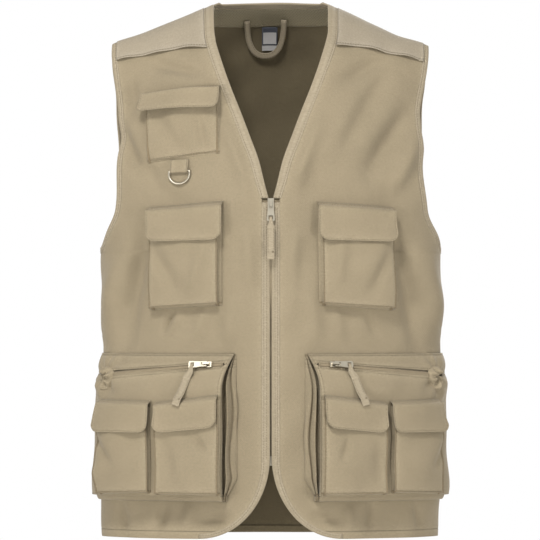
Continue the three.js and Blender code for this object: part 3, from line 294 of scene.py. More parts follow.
# Long soft waves of the whole body: wave length, direction, height and start
Wave = namedtuple("Wave", "length x y z rise start")
WAVE_DEPTH = 3.0
WAVES = (
    Wave(210, 0.9, 0.3, 0.35, 0.9, 0.4),
    Wave(150, 0.7, -0.5, -0.5, 0.7, 2.1),
    Wave(118, -0.3, 0.8, 0.6, 0.5, 4.0),
    Wave(84, 0.95, 0.1, 0.2, 0.35, 1.2),
    Wave(61, 0.4, 0.5, -0.75, 0.25, 5.1),
    Wave(43, -0.8, 0.2, 0.55, 0.16, 3.3),
)
# Places where metal lies on the cloth and it stays flat: distance from the centre, height, size.
# A distance above 0 is on both sides, and one below 0 on the wearer's right alone.
CALM_PLACES = ((0, 425, 40), (90, 205, 60), (-118, 468, 34))
SHOULDER_CALM = 70  # the folds fade out over this height below the shoulder
SHOULDER_FOLD_LEFT = 0.15  # share of a fold left there

RIGHT = -1
LEFT = 1
SIDES = {"right": RIGHT, "left": LEFT}
# One half of the front or back. seam: how far it stands off the plane between front and back
Half = namedtuple("Half", "side back seam")
BACK = Half(1, True, CLEAR / 2)


def front_half(side):
    return Half(side, False, CLEAR / 2)


def mix(start, end, share):
    return start + (end - start) * share


def read_table(table, place, at, column):
    """Reads a column of a table between its rows, along a smooth curve."""
    places = np.array(table[place], float)
    values = np.array(table[column], float)
    around = np.arange(len(places))
    before = np.maximum(around - 1, 0)
    after = np.minimum(around + 1, len(places) - 1)
    slopes = (values[after] - values[before]) / (places[after] - places[before])
    at = np.clip(np.asarray(at, float), places[0], places[-1])
    k = np.clip(np.searchsorted(places, at, side="right") - 1, 0, len(places) - 2)
    span = places[k + 1] - places[k]
    u = (at - places[k]) / span
    start = (1 + 2 * u) * (1 - u) ** 2 * values[k] + u * (1 - u) ** 2 * span * slopes[k]
    end = u * u * (3 - 2 * u) * values[k + 1] + u * u * (u - 1) * span * slopes[k + 1]
    return start + end


def oval_at(level, back):
    """Section of the body seen from above: a wide arc that runs on into the flank's arc."""
    level = np.asarray(level, float)
    rise = np.where(level <= UNDERARM, level / UNDERARM, 1 + (level - UNDERARM) / RISE)
    width = HALF_WIDTH * read_table(BODY_SECTIONS, "rise", rise, "width")
    full = BACK_DEPTH if back else FRONT_DEPTH
    depth = full * read_table(BODY_SECTIONS, "rise", rise, "back" if back else "front")
    reach = width - SIDE_RADIUS
    radius = (reach**2 + depth**2 - SIDE_RADIUS**2) / (2 * (depth - SIDE_RADIUS))
    turn = np.arctan2(reach, radius - depth)
    wide = radius * turn
    girth = wide + SIDE_RADIUS * (math.pi / 2 - turn)
    return SimpleNamespace(depth=depth, reach=reach, radius=radius, turn=turn, wide=wide, girth=girth)


def oval_point(oval, girth):
    along = np.abs(girth)
    angle = girth / oval.radius
    flank = oval.turn + (along - oval.wide) / SIDE_RADIUS
    on_front = along <= oval.wide
    x = np.where(
        on_front,
        oval.radius * np.sin(angle),
        np.sign(girth) * (oval.reach + SIDE_RADIUS * np.sin(flank)),
    )
    depth = np.where(
        on_front, oval.depth - oval.radius * (1 - np.cos(angle)), SIDE_RADIUS * np.cos(flank)
    )
    return x, depth


def girth_at(x, oval):
    """Girth at which the section reaches a distance from the centre."""
    on_front = x <= oval.radius * np.sin(oval.turn)
    front = oval.radius * np.arcsin(np.clip(x / oval.radius, -1, 1))
    sine = np.clip((x - oval.reach) / SIDE_RADIUS, -1, 1)
    return np.where(on_front, front, oval.wide + SIDE_RADIUS * (np.arcsin(sine) - oval.turn))


def crest(x, back):
    """Height of the shoulder line, or of the raised back neck between the shoulders."""
    away = np.abs(x)
    slope = LENGTH - SHOULDER_DROP * (away - SHOULDER_START) / (SHOULDER_HALF - SHOULDER_START)
    rise = BACK_NECK_RISE if back else 0
    neck = LENGTH + rise * np.clip(1 - (away / SHOULDER_START) ** 2, 0, 1) ** 2
    return np.where(away > SHOULDER_START, slope, neck)


def skin(half, girth, level):
    """Points of the body's outer face."""
    girth, level = np.broadcast_arrays(np.asarray(girth, float), np.asarray(level, float))
    x, depth = oval_point(oval_at(level, half.back), girth)
    climb = np.clip((level - UNDERARM) / RISE, 0, 1)
    fullness = BACK_FULLNESS if half.back else FRONT_FULLNESS
    closing = np.clip(1 - climb**fullness, 0, 1) ** (1 / fullness)
    out = depth * closing + half.seam
    height = np.where(
        level <= UNDERARM, level, UNDERARM + (crest(x, half.back) - UNDERARM) * climb
    )
    return np.stack([half.side * x, out if half.back else -out, height], axis=-1)


def unit(vectors):
    return vectors / np.maximum(np.linalg.norm(vectors, axis=-1, keepdims=True), 1e-9)


def way_along(points):
    """Distance along a line of points, from its start."""
    return np.concatenate([[0], np.cumsum(np.linalg.norm(np.diff(points, axis=0), axis=-1))])


def read_line(at, way, values):
    return np.stack([np.interp(at, way, values[:, k]) for k in range(3)], axis=-1)


def skin_normal(half, girth, level):
    step = 0.5
    up = skin(half, girth, np.minimum(level + step, LENGTH))
    up = up - skin(half, girth, np.maximum(level - step, 0))
    along = skin(half, girth + step, level) - skin(half, girth - step, level)
    normal = unit(np.cross(along, up))
    here = skin(half, girth, level)
    outward = normal[..., 0] * here[..., 0] + normal[..., 1] * here[..., 1]
    return np.where(outward[..., None] < 0, -normal, normal)


def relief(half, points):
    """How far the soft folds lift the cloth at points of the body."""
    x, y, z = points[..., 0], points[..., 1], points[..., 2]
    lift = np.zeros_like(x)
    for wave in WAVES:
        way = x * wave.x + y * wave.y + z * wave.z
        lift = lift + WAVE_DEPTH * wave.rise * np.sin(2 * math.pi * way / wave.length + wave.start)
    if not half.back:
        for crease in RIGHT_CREASES if half.side == RIGHT else LEFT_CREASES:
            lift = lift + crease_lift(crease, x * half.side, z)
        for place_x, place_z, size in CALM_PLACES:
            near = np.abs(x - place_x)
            if place_x > 0:
                near = np.minimum(near, np.abs(x + place_x))
            away = ((near**2 + (z - place_z) ** 2) / size**2) ** 2
            lift = lift * (1 - np.exp(-away))
    return lift * np.clip((LENGTH - z) / SHOULDER_CALM, SHOULDER_FOLD_LEFT, 1)


def crease_lift(crease, x, z):
    run_x = crease.x1 - crease.x0
    run_z = crease.z1 - crease.z0
    share = ((x - crease.x0) * run_x + (z - crease.z0) * run_z) / (run_x**2 + run_z**2)
    held = np.clip(share, 0, 1)
    off = (x - crease.x0 - held * run_x) ** 2 + (z - crease.z0 - held * run_z) ** 2
    taper = 0.35 + 0.65 * np.sin(math.pi * held) ** 0.7
    return CREASE_DEPTH * crease.rise * np.exp(-off / crease.width**2) * taper


def off_skin(half, girth, level, out):
    here = skin(half, girth, level)
    lift = out + relief(half, here)
    return here + skin_normal(half, girth, level) * np.asarray(lift)[..., None]


def off_plain_skin(half, girth, level, out):
    """The same on the body without its folds, where the metal parts and the labels sit."""
    return skin(half, girth, level) + skin_normal(half, girth, level) * np.asarray(out)[..., None]


def level_at(half, girth, height):
    """Level whose row passes through a height: rows rise with the shoulder's slope."""
    x = oval_point(oval_at(height, half.back), girth)[0]
    share = (height - UNDERARM) / (crest(x, half.back) - UNDERARM)
    return np.where(height <= UNDERARM, height, UNDERARM + share * RISE)


def at_height(half, girth, height, out):
    return off_skin(half, girth, level_at(half, girth, height), out)


def plain_at_height(half, girth, height, out):
    return off_plain_skin(half, girth, level_at(half, girth, height), out)


def level_of(climb):
    return UNDERARM + climb * RISE


def arm_girth(half, level):
    oval = oval_at(level, half.back)
    reach = HALF_WIDTH * read_table(ARM_EDGE, "climb", (level - UNDERARM) / RISE, "width")
    return np.where(level <= UNDERARM, oval.girth, girth_at(reach, oval))


def even_climbs(fullness, count):
    """Climbs from underarm to shoulder, evenly spaced along the curve over the shoulder."""
    climb = np.sin(np.linspace(0, math.pi / 2, 2000))
    depth = FRONT_DEPTH * np.clip(1 - climb**fullness, 0, 1) ** (1 / fullness)
    run = np.hypot(np.diff(climb * RISE), np.diff(depth))
    way = np.concatenate([[0], np.cumsum(run)])
    return np.interp(np.linspace(0, way[-1], count), way, climb)


def neck_outline(level):
    climb = (level - ZIP_TOP) / (LENGTH - ZIP_TOP)
    return NECK_OPENING_HALF * read_table(NECK_EDGE, "climb", climb, "width")


def neck_width(level):
    return mix(FRONT_BAND_WIDTH, NECK_BINDING_WIDTH, np.clip((level - ZIP_TOP) / (LENGTH / 10), 0, 1))


def corner_arc(degrees, width):
    angle = np.radians(degrees)
    x = FRONT_GAP / 2 + CORNER_WIDTH - (CORNER_WIDTH - width) * np.cos(angle)
    return x, CORNER_HEIGHT - (CORNER_HEIGHT - width) * np.sin(angle)


def corner_width(degrees):
    return mix(FRONT_BAND_WIDTH, CORNER_BAND_WIDTH, np.sin(np.radians(degrees)))


def front_edge(level):
    """Distance from the centre to the front panel's edge, under its band or binding."""
    degrees = np.linspace(90, 0, 91)
    arc_x, arc_level = corner_arc(degrees, corner_width(degrees))
    straight = FRONT_GAP / 2 + FRONT_BAND_WIDTH
    lower = np.where(level < CORNER_HEIGHT, np.interp(level, arc_level, arc_x), straight)
    return np.where(level < ZIP_TOP, lower, neck_outline(level) + neck_width(level))


# Meshes

thread_lines = []  # rows of stitches: points and normals


def to_metres(points):
    return np.asarray(points, float) * MM - np.array([0, 0, LENGTH * MM])


def grid_normals(points):
    """Normals of a grid of points, turned to the outside of the body."""
    across = np.gradient(points, axis=0)
    along = np.gradient(points, axis=1)
    normals = unit(np.cross(across, along))
    outside = (normals[..., 0] * points[..., 0] + normals[..., 1] * points[..., 1]).sum()
    return normals if outside >= 0 else -normals


def put(name, data):
    """Adds an object to the scene."""
    obj = bpy.data.objects.new(name, data)
    bpy.context.scene.collection.objects.link(obj)
    return obj


def new_mesh(name, points, faces):
    mesh = bpy.data.meshes.new(name)
    mesh.from_pydata(to_metres(points).tolist(), [], faces)
    mesh.polygons.foreach_set("use_smooth", np.ones(len(faces), bool))
    return put(name, mesh)


def outward(points, quads):
    """Quads turned so that the closed mesh's faces point out."""
    a, b, c, d = (points[quads[:, k]] for k in range(4))
    volume = np.einsum("ij,ij->i", a, np.cross(b, c)).sum()
    volume += np.einsum("ij,ij->i", a, np.cross(c, d)).sum()
    return quads if volume > 0 else quads[:, ::-1]


def set_layers(obj, uv, seam):
    """The cloth's own flat coordinates, in metres, and its nearness to a seam."""
    mesh = obj.data
    corners = np.zeros(len(mesh.loops), int)
    mesh.loops.foreach_get("vertex_index", corners)
    layer = mesh.uv_layers.new(name="cloth")
    layer.data.foreach_set("uv", (uv * MM)[corners].ravel())
    mesh.attributes.new("seam", "FLOAT", "POINT").data.foreach_set("value", seam)


def cloth(name, outer, inner, uv, seam, lined=True):
    """Closed cloth between two grids of points; where lined, its inside takes the second material."""
    columns, rows = outer.shape[:2]
    count = columns * rows
    points = np.concatenate([outer.reshape(-1, 3), inner.reshape(-1, 3)])
    k = np.arange(count).reshape(columns, rows)
    face = np.stack([k[:-1, :-1], k[1:, :-1], k[1:, 1:], k[:-1, 1:]], axis=-1).reshape(-1, 4)
    walls = [
        np.stack([k[1:, 0], k[:-1, 0], k[:-1, 0] + count, k[1:, 0] + count], axis=-1),
        np.stack([k[:-1, -1], k[1:, -1], k[1:, -1] + count, k[:-1, -1] + count], axis=-1),
        np.stack([k[0, :-1], k[0, 1:], k[0, 1:] + count, k[0, :-1] + count], axis=-1),
        np.stack([k[-1, 1:], k[-1, :-1], k[-1, :-1] + count, k[-1, 1:] + count], axis=-1),
    ]
    quads = np.concatenate([face, face[:, ::-1] + count, *walls])
    turned = outward(points, quads)
    obj = new_mesh(name, points, turned.tolist())
    inside = np.zeros(len(quads), int)
    inside[len(face) : 2 * len(face)] = int(lined)
    obj.data.polygons.foreach_set("material_index", inside)
    flat = uv.reshape(-1, 2)
    set_layers(obj, np.concatenate([flat, flat]), np.tile(np.asarray(seam, float).ravel(), 2))
    return obj


def swept(name, rings, uv, seam, looped=False):
    """Closed bar through rings of points, with a cap at each end unless it is looped."""
    count, sides = rings.shape[:2]
    points = rings.reshape(-1, 3)
    k = np.arange(count * sides).reshape(count, sides)
    turned = np.roll(k, -1, axis=1)
    after = np.roll(k, -1, axis=0)
    after_turned = np.roll(turned, -1, axis=0)
    stop = count if looped else count - 1
    quads = np.stack([k[:stop], turned[:stop], after_turned[:stop], after[:stop]], axis=-1).reshape(-1, 4)
    faces = outward(points, quads).tolist()
    if not looped:
        flipped = faces[0] != quads[0].tolist()
        first = k[0].tolist()
        last = k[-1].tolist()
        faces.append(first if flipped else first[::-1])
        faces.append(last[::-1] if flipped else last)
    obj = new_mesh(name, points, faces)
    set_layers(obj, uv.reshape(-1, 2), np.asarray(seam, float).ravel())
    return obj


def cut_size(grid):
    """Width, length and area of the flat cloth that a grid of points was cut from, in metres."""
    across = np.linalg.norm(np.diff(grid, axis=0), axis=-1).sum(axis=0).max()
    along = np.linalg.norm(np.diff(grid, axis=1), axis=-1).sum(axis=1).max()
    one = np.cross(grid[1:, :-1] - grid[:-1, :-1], grid[1:, 1:] - grid[:-1, :-1])
    two = np.cross(grid[1:, 1:] - grid[:-1, :-1], grid[:-1, 1:] - grid[:-1, :-1])
    area = (np.linalg.norm(one, axis=-1).sum() + np.linalg.norm(two, axis=-1).sum()) / 2
    width = across * MM
    length = along * MM
    return width, length, min(area * MM * MM, width * length)


NARROWEST = 0.0101  # metres: the least width that a sheet's flat size is given; the least width that a sheet is declared with


def dress(obj, materials, nodes, body="vest"):
    for material in materials:
        obj.data.materials.append(material)
    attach(obj, body)
    if nodes:
        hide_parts(*nodes)
    return obj


def declare(grid):
    width, length, area = cut_size(grid)
    flat = (max(width, NARROWEST), max(length, NARROWEST))


def sewn(name, faces, flat, seam, made_of, nodes):
    """A piece of cloth between two faces; flat gives its places on the cut cloth."""
    outer, inner = faces
    obj = cloth(name, outer, inner, np.stack(flat, axis=-1), seam, len(made_of) > 1)
    dress(obj, made_of, nodes)
    declare(outer)


def groove(distance, depth=0.6, width=1.0):
    """Dent of a row of stitches at a distance from it."""
    return -depth * np.exp(-((distance / width) ** 2))


def nearness(*distances):
    """1 on a seam, falling to 0 a few millimetres away."""
    least = np.min([np.abs(d) for d in np.broadcast_arrays(*distances)], axis=0)
    return np.exp(-least / SEAM_FADE)


def lines_with(width, stitches, spacing, edge=True):
    """Places of grid lines over a width: closer at its ends and at rows of stitches."""
    places = set(np.linspace(0, width, max(3, int(width / spacing) + 1)).round(3))
    if edge:
        for d in (0.25, 0.7, 1.2):
            places |= {d, width - d}
    for s in stitches:
        places |= {s - 0.8, s, s + 0.8}
    ordered = sorted(p for p in places if 0 <= p <= width)
    kept = [ordered[0]]
    for p in ordered[1:]:
        if p - kept[-1] >= 0.2:
            kept.append(p)
    kept[-1] = width
    return np.array(kept)


def rounded(distance, radius=1.1):
    """Share of a folded edge's thickness at a distance in from it."""
    inset = np.clip(distance / radius, 0, 1)
    return np.sqrt(np.clip(1 - (1 - inset) ** 2, 0.02, 1))


def nearest(values, value):
    return int(np.argmin(np.abs(values - value)))


def stitch_along(points, normals, lift=0.1):
    thread_lines.append((points + normals * lift, normals))


def stitch_row(points, normals, row):
    stitch_along(points[:, row], normals[:, row])


def stitch_round(points, normals, left, right, low, high=None):
    """Rows of stitches down both sides of a pocket or flap and along its bottom."""
    for column in (left, right):
        stitch_along(points[column, low:high], normals[column, low:high])
    stitch_along(points[left : right + 1, low], normals[left : right + 1, low])


# Panels

def hemmed(half, girth, level):
    """Faces of one layer of twill, doubled up to the hem's row of stitches."""
    outer = off_skin(half, girth, level, groove(level - HEM_STITCH, 0.35))
    normals = grid_normals(outer)
    thick = np.where(level < HEM_STITCH, DOUBLE_TWILL, TWILL) * rounded(level + 0.05)
    return outer, normals, outer - normals * thick[..., None]


def front_panel(name, side):
    half = front_half(side)
    lower = np.linspace(17.5, UNDERARM, 98)
    upper = level_of(even_climbs(FRONT_FULLNESS, 104)[1:])
    levels = np.concatenate([FRONT_HEM_ROWS, lower, upper])
    shares = np.concatenate([[0, 0.004, 0.01], np.linspace(0.025, 1, 66)])
    level, share = np.meshgrid(levels, shares)
    start = girth_at(front_edge(level), oval_at(level, False))
    end = arm_girth(half, level)
    girth = mix(start, end, share)
    outer, normals, inner = hemmed(half, girth, level)
    seam = nearness(level - HEM_STITCH, girth - start, end - girth)
    sewn(
        f"front_panel_cloth_{name}", (outer, inner), (girth, level), seam, [beige_twill, inner_face_painted_shade],
        [f"front_panel_{name}"],
    )
    stitch_row(outer, normals, nearest(levels, HEM_STITCH))


NECK_SHARE = NECK_HALF / (HALF_WIDTH * ARM_EDGE["width"][-1])


def back_neck_level(x):
    away = np.clip(np.abs(x) / NECK_HALF, 0, 1)
    share = BACK_NECK_DEPTH * np.sqrt(1 - away**2) / BACK_DEPTH
    return level_of((1 - share**BACK_FULLNESS) ** (1 / BACK_FULLNESS))


def back_spot(share, climb):
    """Girth and level of the back grid, topped by the neck edge or the shoulder."""
    neck_x = share * NECK_HALF / NECK_SHARE
    top = np.where(np.abs(share) < NECK_SHARE, (back_neck_level(neck_x) - UNDERARM) / RISE, 1)
    return share * arm_girth(BACK, level_of(climb)), level_of(climb * top)


def back_columns(count):
    """Column shares of the back, with one on each end of the neck opening."""
    neck = NECK_SHARE * np.sin(np.linspace(0, math.pi / 2, count))
    outer = np.linspace(NECK_SHARE, 1, count + 14)[1:]
    half = np.concatenate([neck, outer])
    return np.concatenate([-half[:0:-1], half])


def back_panel():
    lower = np.concatenate([BACK_HEM_ROWS, np.linspace(18, UNDERARM, 80)[:-1]])
    shares = back_columns(26)
    share, low = np.meshgrid(shares, lower, indexing="ij")
    low_girth = share * arm_girth(BACK, low)
    share_up, climb = np.meshgrid(shares, even_climbs(BACK_FULLNESS, 84), indexing="ij")
    up_girth, up_level = back_spot(share_up, climb)
    girth = np.concatenate([low_girth, up_girth], axis=1)
    level = np.concatenate([low, up_level], axis=1)
    outer, normals, inner = hemmed(BACK, girth, level)
    edge = arm_girth(BACK, np.minimum(level, LENGTH)) - np.abs(girth)
    # The back's inside takes the darkest painted shade
    sewn(
        "back_panel_cloth", (outer, inner), (girth, level), nearness(level - HEM_STITCH, edge),
        [beige_twill, darkest_inside_painted_shade], ["back_panel"],
    )
    stitch_row(outer, normals, nearest(lower, HEM_STITCH))


def yoke_faces(half, girth, level, from_edge, lift):
    """Faces of a yoke that lies on the panel and lifts at its lower edge."""
    outer = off_skin(half, girth, level, CLEAR + TWILL + lift)
    normals = grid_normals(outer)
    return outer, normals, outer - normals * (TWILL * rounded(from_edge + 0.05, 0.9))[..., None]


def front_yoke(name, side):
    half = front_half(side)
    shares = np.concatenate([[0, 0.008, 0.02], np.linspace(0.04, 1, 46)])
    ups = np.sort(np.concatenate([np.sin(np.linspace(0, math.pi / 2, 30)), [0.006, 0.02, 0.045, 0.07]]))
    share, up = np.meshgrid(shares, ups, indexing="ij")
    drop = read_table(YOKE_EDGE, "share", share, "drop")
    level = LENGTH - drop * (1 - up)
    start = girth_at(neck_outline(level) + NECK_BINDING_WIDTH, oval_at(level, False))
    end = arm_girth(half, level)
    girth = mix(start, end, share)
    from_edge = drop * up
    lifted = FRONT_YOKE_LIFT * np.exp(-from_edge / YOKE_LIFT_FADE) * (0.6 + 0.4 * np.sin(share * 17 + side))
    lift = lifted + groove(from_edge - YOKE_STITCH, 0.3, 0.8)
    outer, normals, inner = yoke_faces(half, girth, level, from_edge, lift)
    sewn(
        f"front_yoke_cloth_{name}", (outer, inner), (girth, level),
        nearness(from_edge - 2.5, girth - start, end - girth), [yoke_twill, inner_face_painted_shade],
        [f"front_yoke_{name}"],
    )
    stitch_row(outer, normals, nearest(from_edge[YOKE_COLUMN], YOKE_STITCH))


def back_yoke():
    climbs = even_climbs(BACK_FULLNESS, 120)
    first = np.array([0, 0.003, 0.008, 0.014, 0.02]) + BACK_YOKE_CLIMB
    climbs = np.concatenate([first, climbs[climbs > first[-1] + 0.005]])
    share, climb = np.meshgrid(back_columns(22), climbs, indexing="ij")
    girth, level = back_spot(share, climb)
    from_edge = (climb - BACK_YOKE_CLIMB) * RISE
    lift = BACK_YOKE_LIFT * np.exp(-from_edge / YOKE_LIFT_FADE) + groove(from_edge - YOKE_STITCH, 0.3)
    outer, normals, inner = yoke_faces(BACK, girth, level, from_edge, lift)
    sewn(
        "back_yoke_cloth", (outer, inner), (girth, level), nearness(from_edge - 2.5),
        [yoke_twill, inner_face_painted_shade], ["back_yoke"],
    )
    stitch_row(outer, normals, nearest(from_edge[YOKE_COLUMN], YOKE_STITCH))


# Bindings

def binding_profile(width):
    """Section of a folded tape: distance out from the panel's edge and height on either face."""
    half_thick = TAPE / 2
    across = [-0.5, -0.3, 0.1, CLEAR + 1.2, CLEAR + 1.9, CLEAR + 2.5]
    stand = [0.5, 0.9, 1.0, 0.98, 0.74, 0.98]
    for share in (0.45, 0.62, 0.8):
        across.append(mix(CLEAR + 2.5, width - half_thick, share))
        stand.append(1.06)
    for degrees in (75, 50, 25, 0):
        across.append(width - half_thick + half_thick * math.cos(math.radians(degrees)))
        stand.append(math.sin(math.radians(degrees)))
    top = list(zip(across, stand))
    under = [(a, -s) for a, s in reversed(top[:-1])]
    return np.array(top + under)


def binding_rings(edge, outline, normal):
    """Rings of a binding between an edge and an outline, both lines of points."""
    rings = []
    for start, end, out in zip(edge, outline, normal):
        across = end - start
        width = np.linalg.norm(across)
        profile = binding_profile(width)
        middle = start - out * TWILL / 2
        ring = middle + profile[:, :1] * across / width + profile[:, 1:] * out * TAPE / 2
        rings.append(ring)
    return np.array(rings)


def binding(name, edge, outline, normal, nodes, looped=False):
    rings = binding_rings(edge, outline, normal)
    way = way_along(edge)
    sides = rings.shape[1]
    around = np.linspace(0, 2 * np.linalg.norm(outline[0] - edge[0]), sides)
    uv = np.stack(np.meshgrid(way, around, indexing="ij"), axis=-1)
    near = np.full(rings.shape[:2], 0.75)
    near[:, 7 : sides - 7] = 0.2
    obj = swept(name, rings, uv, near, looped)
    across = unit(outline - edge)
    seat = edge + across * (CLEAR + 1.9) + normal * (TAPE / 2 * 0.8 - TWILL / 2)
    stitch_along(seat, normal, 0.12)
    return dress(obj, [binding_twill], nodes)


def front_band(name, side):
    half = front_half(side)
    degrees = np.linspace(90, 0, 46)
    edge_x, edge_level = corner_arc(degrees, corner_width(degrees))
    line_x, line_level = corner_arc(degrees, 0 * degrees)
    last = level_of(0.2)
    up = np.linspace(CORNER_HEIGHT, last, 90)[1:]
    edge_level = np.concatenate([edge_level, up])
    line_level = np.concatenate([line_level, up])
    edge_x = np.concatenate([edge_x, np.full(len(up), FRONT_GAP / 2 + FRONT_BAND_WIDTH)])
    line_x = np.concatenate([line_x, np.full(len(up), FRONT_GAP / 2)])
    edge = on_line(half, edge_x, edge_level)
    outline = on_line(half, line_x, line_level)
    normal = skin_normal(half, girth_at(edge_x, oval_at(edge_level, False)), edge_level)
    obj = binding(f"front_band_cloth_{name}", edge, outline, normal, [f"front_band_{name}"])
    across = unit(outline - edge)
    seat = edge + across * 5.6 + normal * 0.72
    stitch_along(seat[44:], normal[44:], 0.1)


def on_line(half, x, level):
    return off_skin(half, girth_at(x, oval_at(level, False)), level, 0)


def neck_binding(name, side):
    half = front_half(side)
    climbs = even_climbs(FRONT_FULLNESS, 150)
    level = np.concatenate([[ZIP_TOP + CLEAR], level_of(climbs)[level_of(climbs) > ZIP_TOP + 1]])
    line_x = neck_outline(level)
    edge_x = line_x + neck_width(level)
    edge = on_line(half, edge_x, level)
    outline = on_line(half, line_x, level)
    normal = skin_normal(half, girth_at(edge_x, oval_at(level, False)), level)
    obj = binding(f"neck_binding_cloth_{name}", edge, outline, normal, [f"neck_binding_{name}"])


def side_binding(edge, normal, middle, width):
    """Outline of a binding that stands off an edge towards a point."""
    along = np.gradient(edge, axis=0)
    across = unit(np.cross(unit(along), normal))
    inward = ((middle - edge) * across).sum(axis=-1, keepdims=True)
    return edge + np.where(inward < 0, -across, across) * width


def armhole_binding(name, side):
    climbs = np.unique(np.concatenate([even_climbs(FRONT_FULLNESS, 90), [0.004, 0.009, 0.014, 0.02]]))
    level = level_of(climbs)
    halves = (front_half(side), Half(side, True, CLEAR / 2))
    front, back = (off_skin(half, arm_girth(half, level), level, 0) for half in halves)
    edge = np.concatenate([front, back[::-1]])
    front, back = (skin_normal(half, arm_girth(half, level), level) for half in halves)
    normal = np.concatenate([front, back[::-1]])
    middle = np.array([side * HALF_WIDTH, 0, mix(UNDERARM, LENGTH - SHOULDER_DROP, 0.5)])
    outline = side_binding(edge, normal, middle, ARM_BINDING_WIDTH)
    node = f"armhole_binding_{name}"
    obj = binding(f"armhole_binding_cloth_{name}", edge, outline, normal, [node], looped=True)


def back_neck_binding():
    shares = NECK_SHARE * np.sin(np.linspace(-math.pi / 2, math.pi / 2, 61))
    girth, level = back_spot(shares, np.ones_like(shares))
    edge = off_skin(BACK, girth, level, 0)
    normal = skin_normal(BACK, girth, level)
    middle = np.array([0, 0, LENGTH])
    outline = side_binding(edge, normal, middle, NECK_HALF - NECK_OPENING_HALF)
    obj = binding("back_neck_binding_cloth", edge, outline, normal, ["back_neck_binding"])


# Inside of the back neck

def neck_facing():
    shares = NECK_SHARE * np.sin(np.linspace(-1.5, 1.5, 60))
    share, climb = np.meshgrid(shares, np.linspace(FACING_START, 1, 26), indexing="ij")
    girth, level = back_spot(share, climb)
    near = TWILL + CLEAR
    outer = off_skin(BACK, girth, level, -near)
    inner = off_skin(BACK, girth, level, -near - TWILL)
    sewn(
        "neck_facing_cloth", (outer, inner), (girth, level), nearness(climb * 300 - FACING_START * 300),
        [mesh_facing], ["neck_facing"],
    )
    stitch_row(inner, -grid_normals(inner), 2)


def facing_end():
    return float(back_spot(np.array(0.0), np.array(FACING_START))[1])


def hanger_loop():
    top = mix(facing_end(), float(back_neck_level(0.0)), 0.5)
    turn = np.linspace(0, math.pi, HANGER_ROWS)
    swing = np.sign(np.cos(turn)) * np.abs(np.cos(turn)) ** 0.8
    fall = np.sin(turn) ** 0.8
    away = 3 * (TWILL + CLEAR) + fall * TAPE
    lines = []
    for across in np.linspace(0, 1, HANGER_COLUMNS):
        reach = HANGER_SPAN - 2 * HANGER_WIDTH * across
        drop = HANGER_DROP - HANGER_WIDTH * across
        girth = HANGER_SHIFT + swing * reach / 2
        curl = 0.35 * math.cos(math.pi * (across - 0.5))
        level = top - fall * drop
        lines.append(off_plain_skin(BACK, girth, level, -away - curl))
    outer = np.array(lines)
    normals = grid_normals(outer)
    inner = outer - normals * TWILL
    across = np.linspace(0, HANGER_WIDTH, HANGER_COLUMNS)
    flat = np.meshgrid(across, np.linspace(0, HANGER_LENGTH, HANGER_ROWS), indexing="ij")
    sewn(
        "hanger_loop_cloth", (outer, inner), flat, np.full(outer.shape[:2], 0.6),
        [binding_twill], ["hanger_loop"],
    )
    for column in (1, 5):
        stitch_along(inner[column], -normals[column])


LABEL_CELLS = 14  # faces of a label across and down


def label(name, top, height, node, materials, panel=None):
    """Woven label inside the back neck. panel is the paler part: cells left off at sides and top."""
    away = 2 * (TWILL + CLEAR) + CLEAR
    shares = np.linspace(0, 1, LABEL_CELLS + 1)
    a, d = np.meshgrid(shares, shares, indexing="ij")
    girth = LABEL_SHIFT + LABEL_WIDTH * (a - 0.5)
    level = top - height * d
    curl = 0.5 * np.abs(2 * a - 1) ** 3 + 0.4 * d**2
    outer = off_plain_skin(BACK, girth, level, -away - curl)
    inner = outer - grid_normals(outer) * LABEL_THICKNESS * 0.6
    uv = np.stack([girth, level], axis=-1)
    obj = cloth(name, outer, inner, uv, np.zeros(outer.shape[:2]))
    cells = np.zeros((LABEL_CELLS, LABEL_CELLS), int)
    if panel:
        cells[panel[0] : LABEL_CELLS - panel[0], panel[1] : LABEL_CELLS - 1] = 1
    index = np.zeros(len(obj.data.polygons), int)
    index[cells.size : 2 * cells.size] = cells.ravel()
    obj.data.polygons.foreach_set("material_index", index)
    dress(obj, materials, [node])
    declare(outer)


# Pockets

def body_ground(girth, height):
    """Pieces sewn straight to the body lie on its face, at every girth and height."""
    return 0 * girth


def cargo_inner(height):
    share = np.clip((CARGO_TOP - height) / CARGO_CORNER_FALL, 0, 1)
    return mix(CARGO_TOP_INNER, CARGO_FACE_INNER, np.sin(share * math.pi / 2))


def cargo_seam(height):
    return oval_at(height, False).girth - CARGO_SIDE_FOOT - TWILL


def cargo_out(girth, height):
    around = (girth - CARGO_FACE_INNER) / (cargo_seam(height) - CARGO_FACE_INNER)
    climb = (height - CARGO_BOTTOM) / (CARGO_TOP - CARGO_BOTTOM)
    swell = read_table(CARGO_ROUND, "share", around, "swell")
    fall = read_table(CARGO_FALL, "share", climb, "swell")
    return CLEAR + TWILL + CARGO_DEPTH * swell * fall


def pocket_ground(girth, height):
    return cargo_out(girth, height) + CLEAR


def cargo_zip_height(girth):
    share = (girth - ZIP_INNER.girth) / (ZIP_OUTER.girth - ZIP_INNER.girth)
    return mix(ZIP_INNER.height, ZIP_OUTER.height, share)


def fold_shape(table, way):
    """How far along and how high a fold has come, at shares of the way over it."""
    return read_table(table, "way", way, "run"), read_table(table, "way", way, "stand")


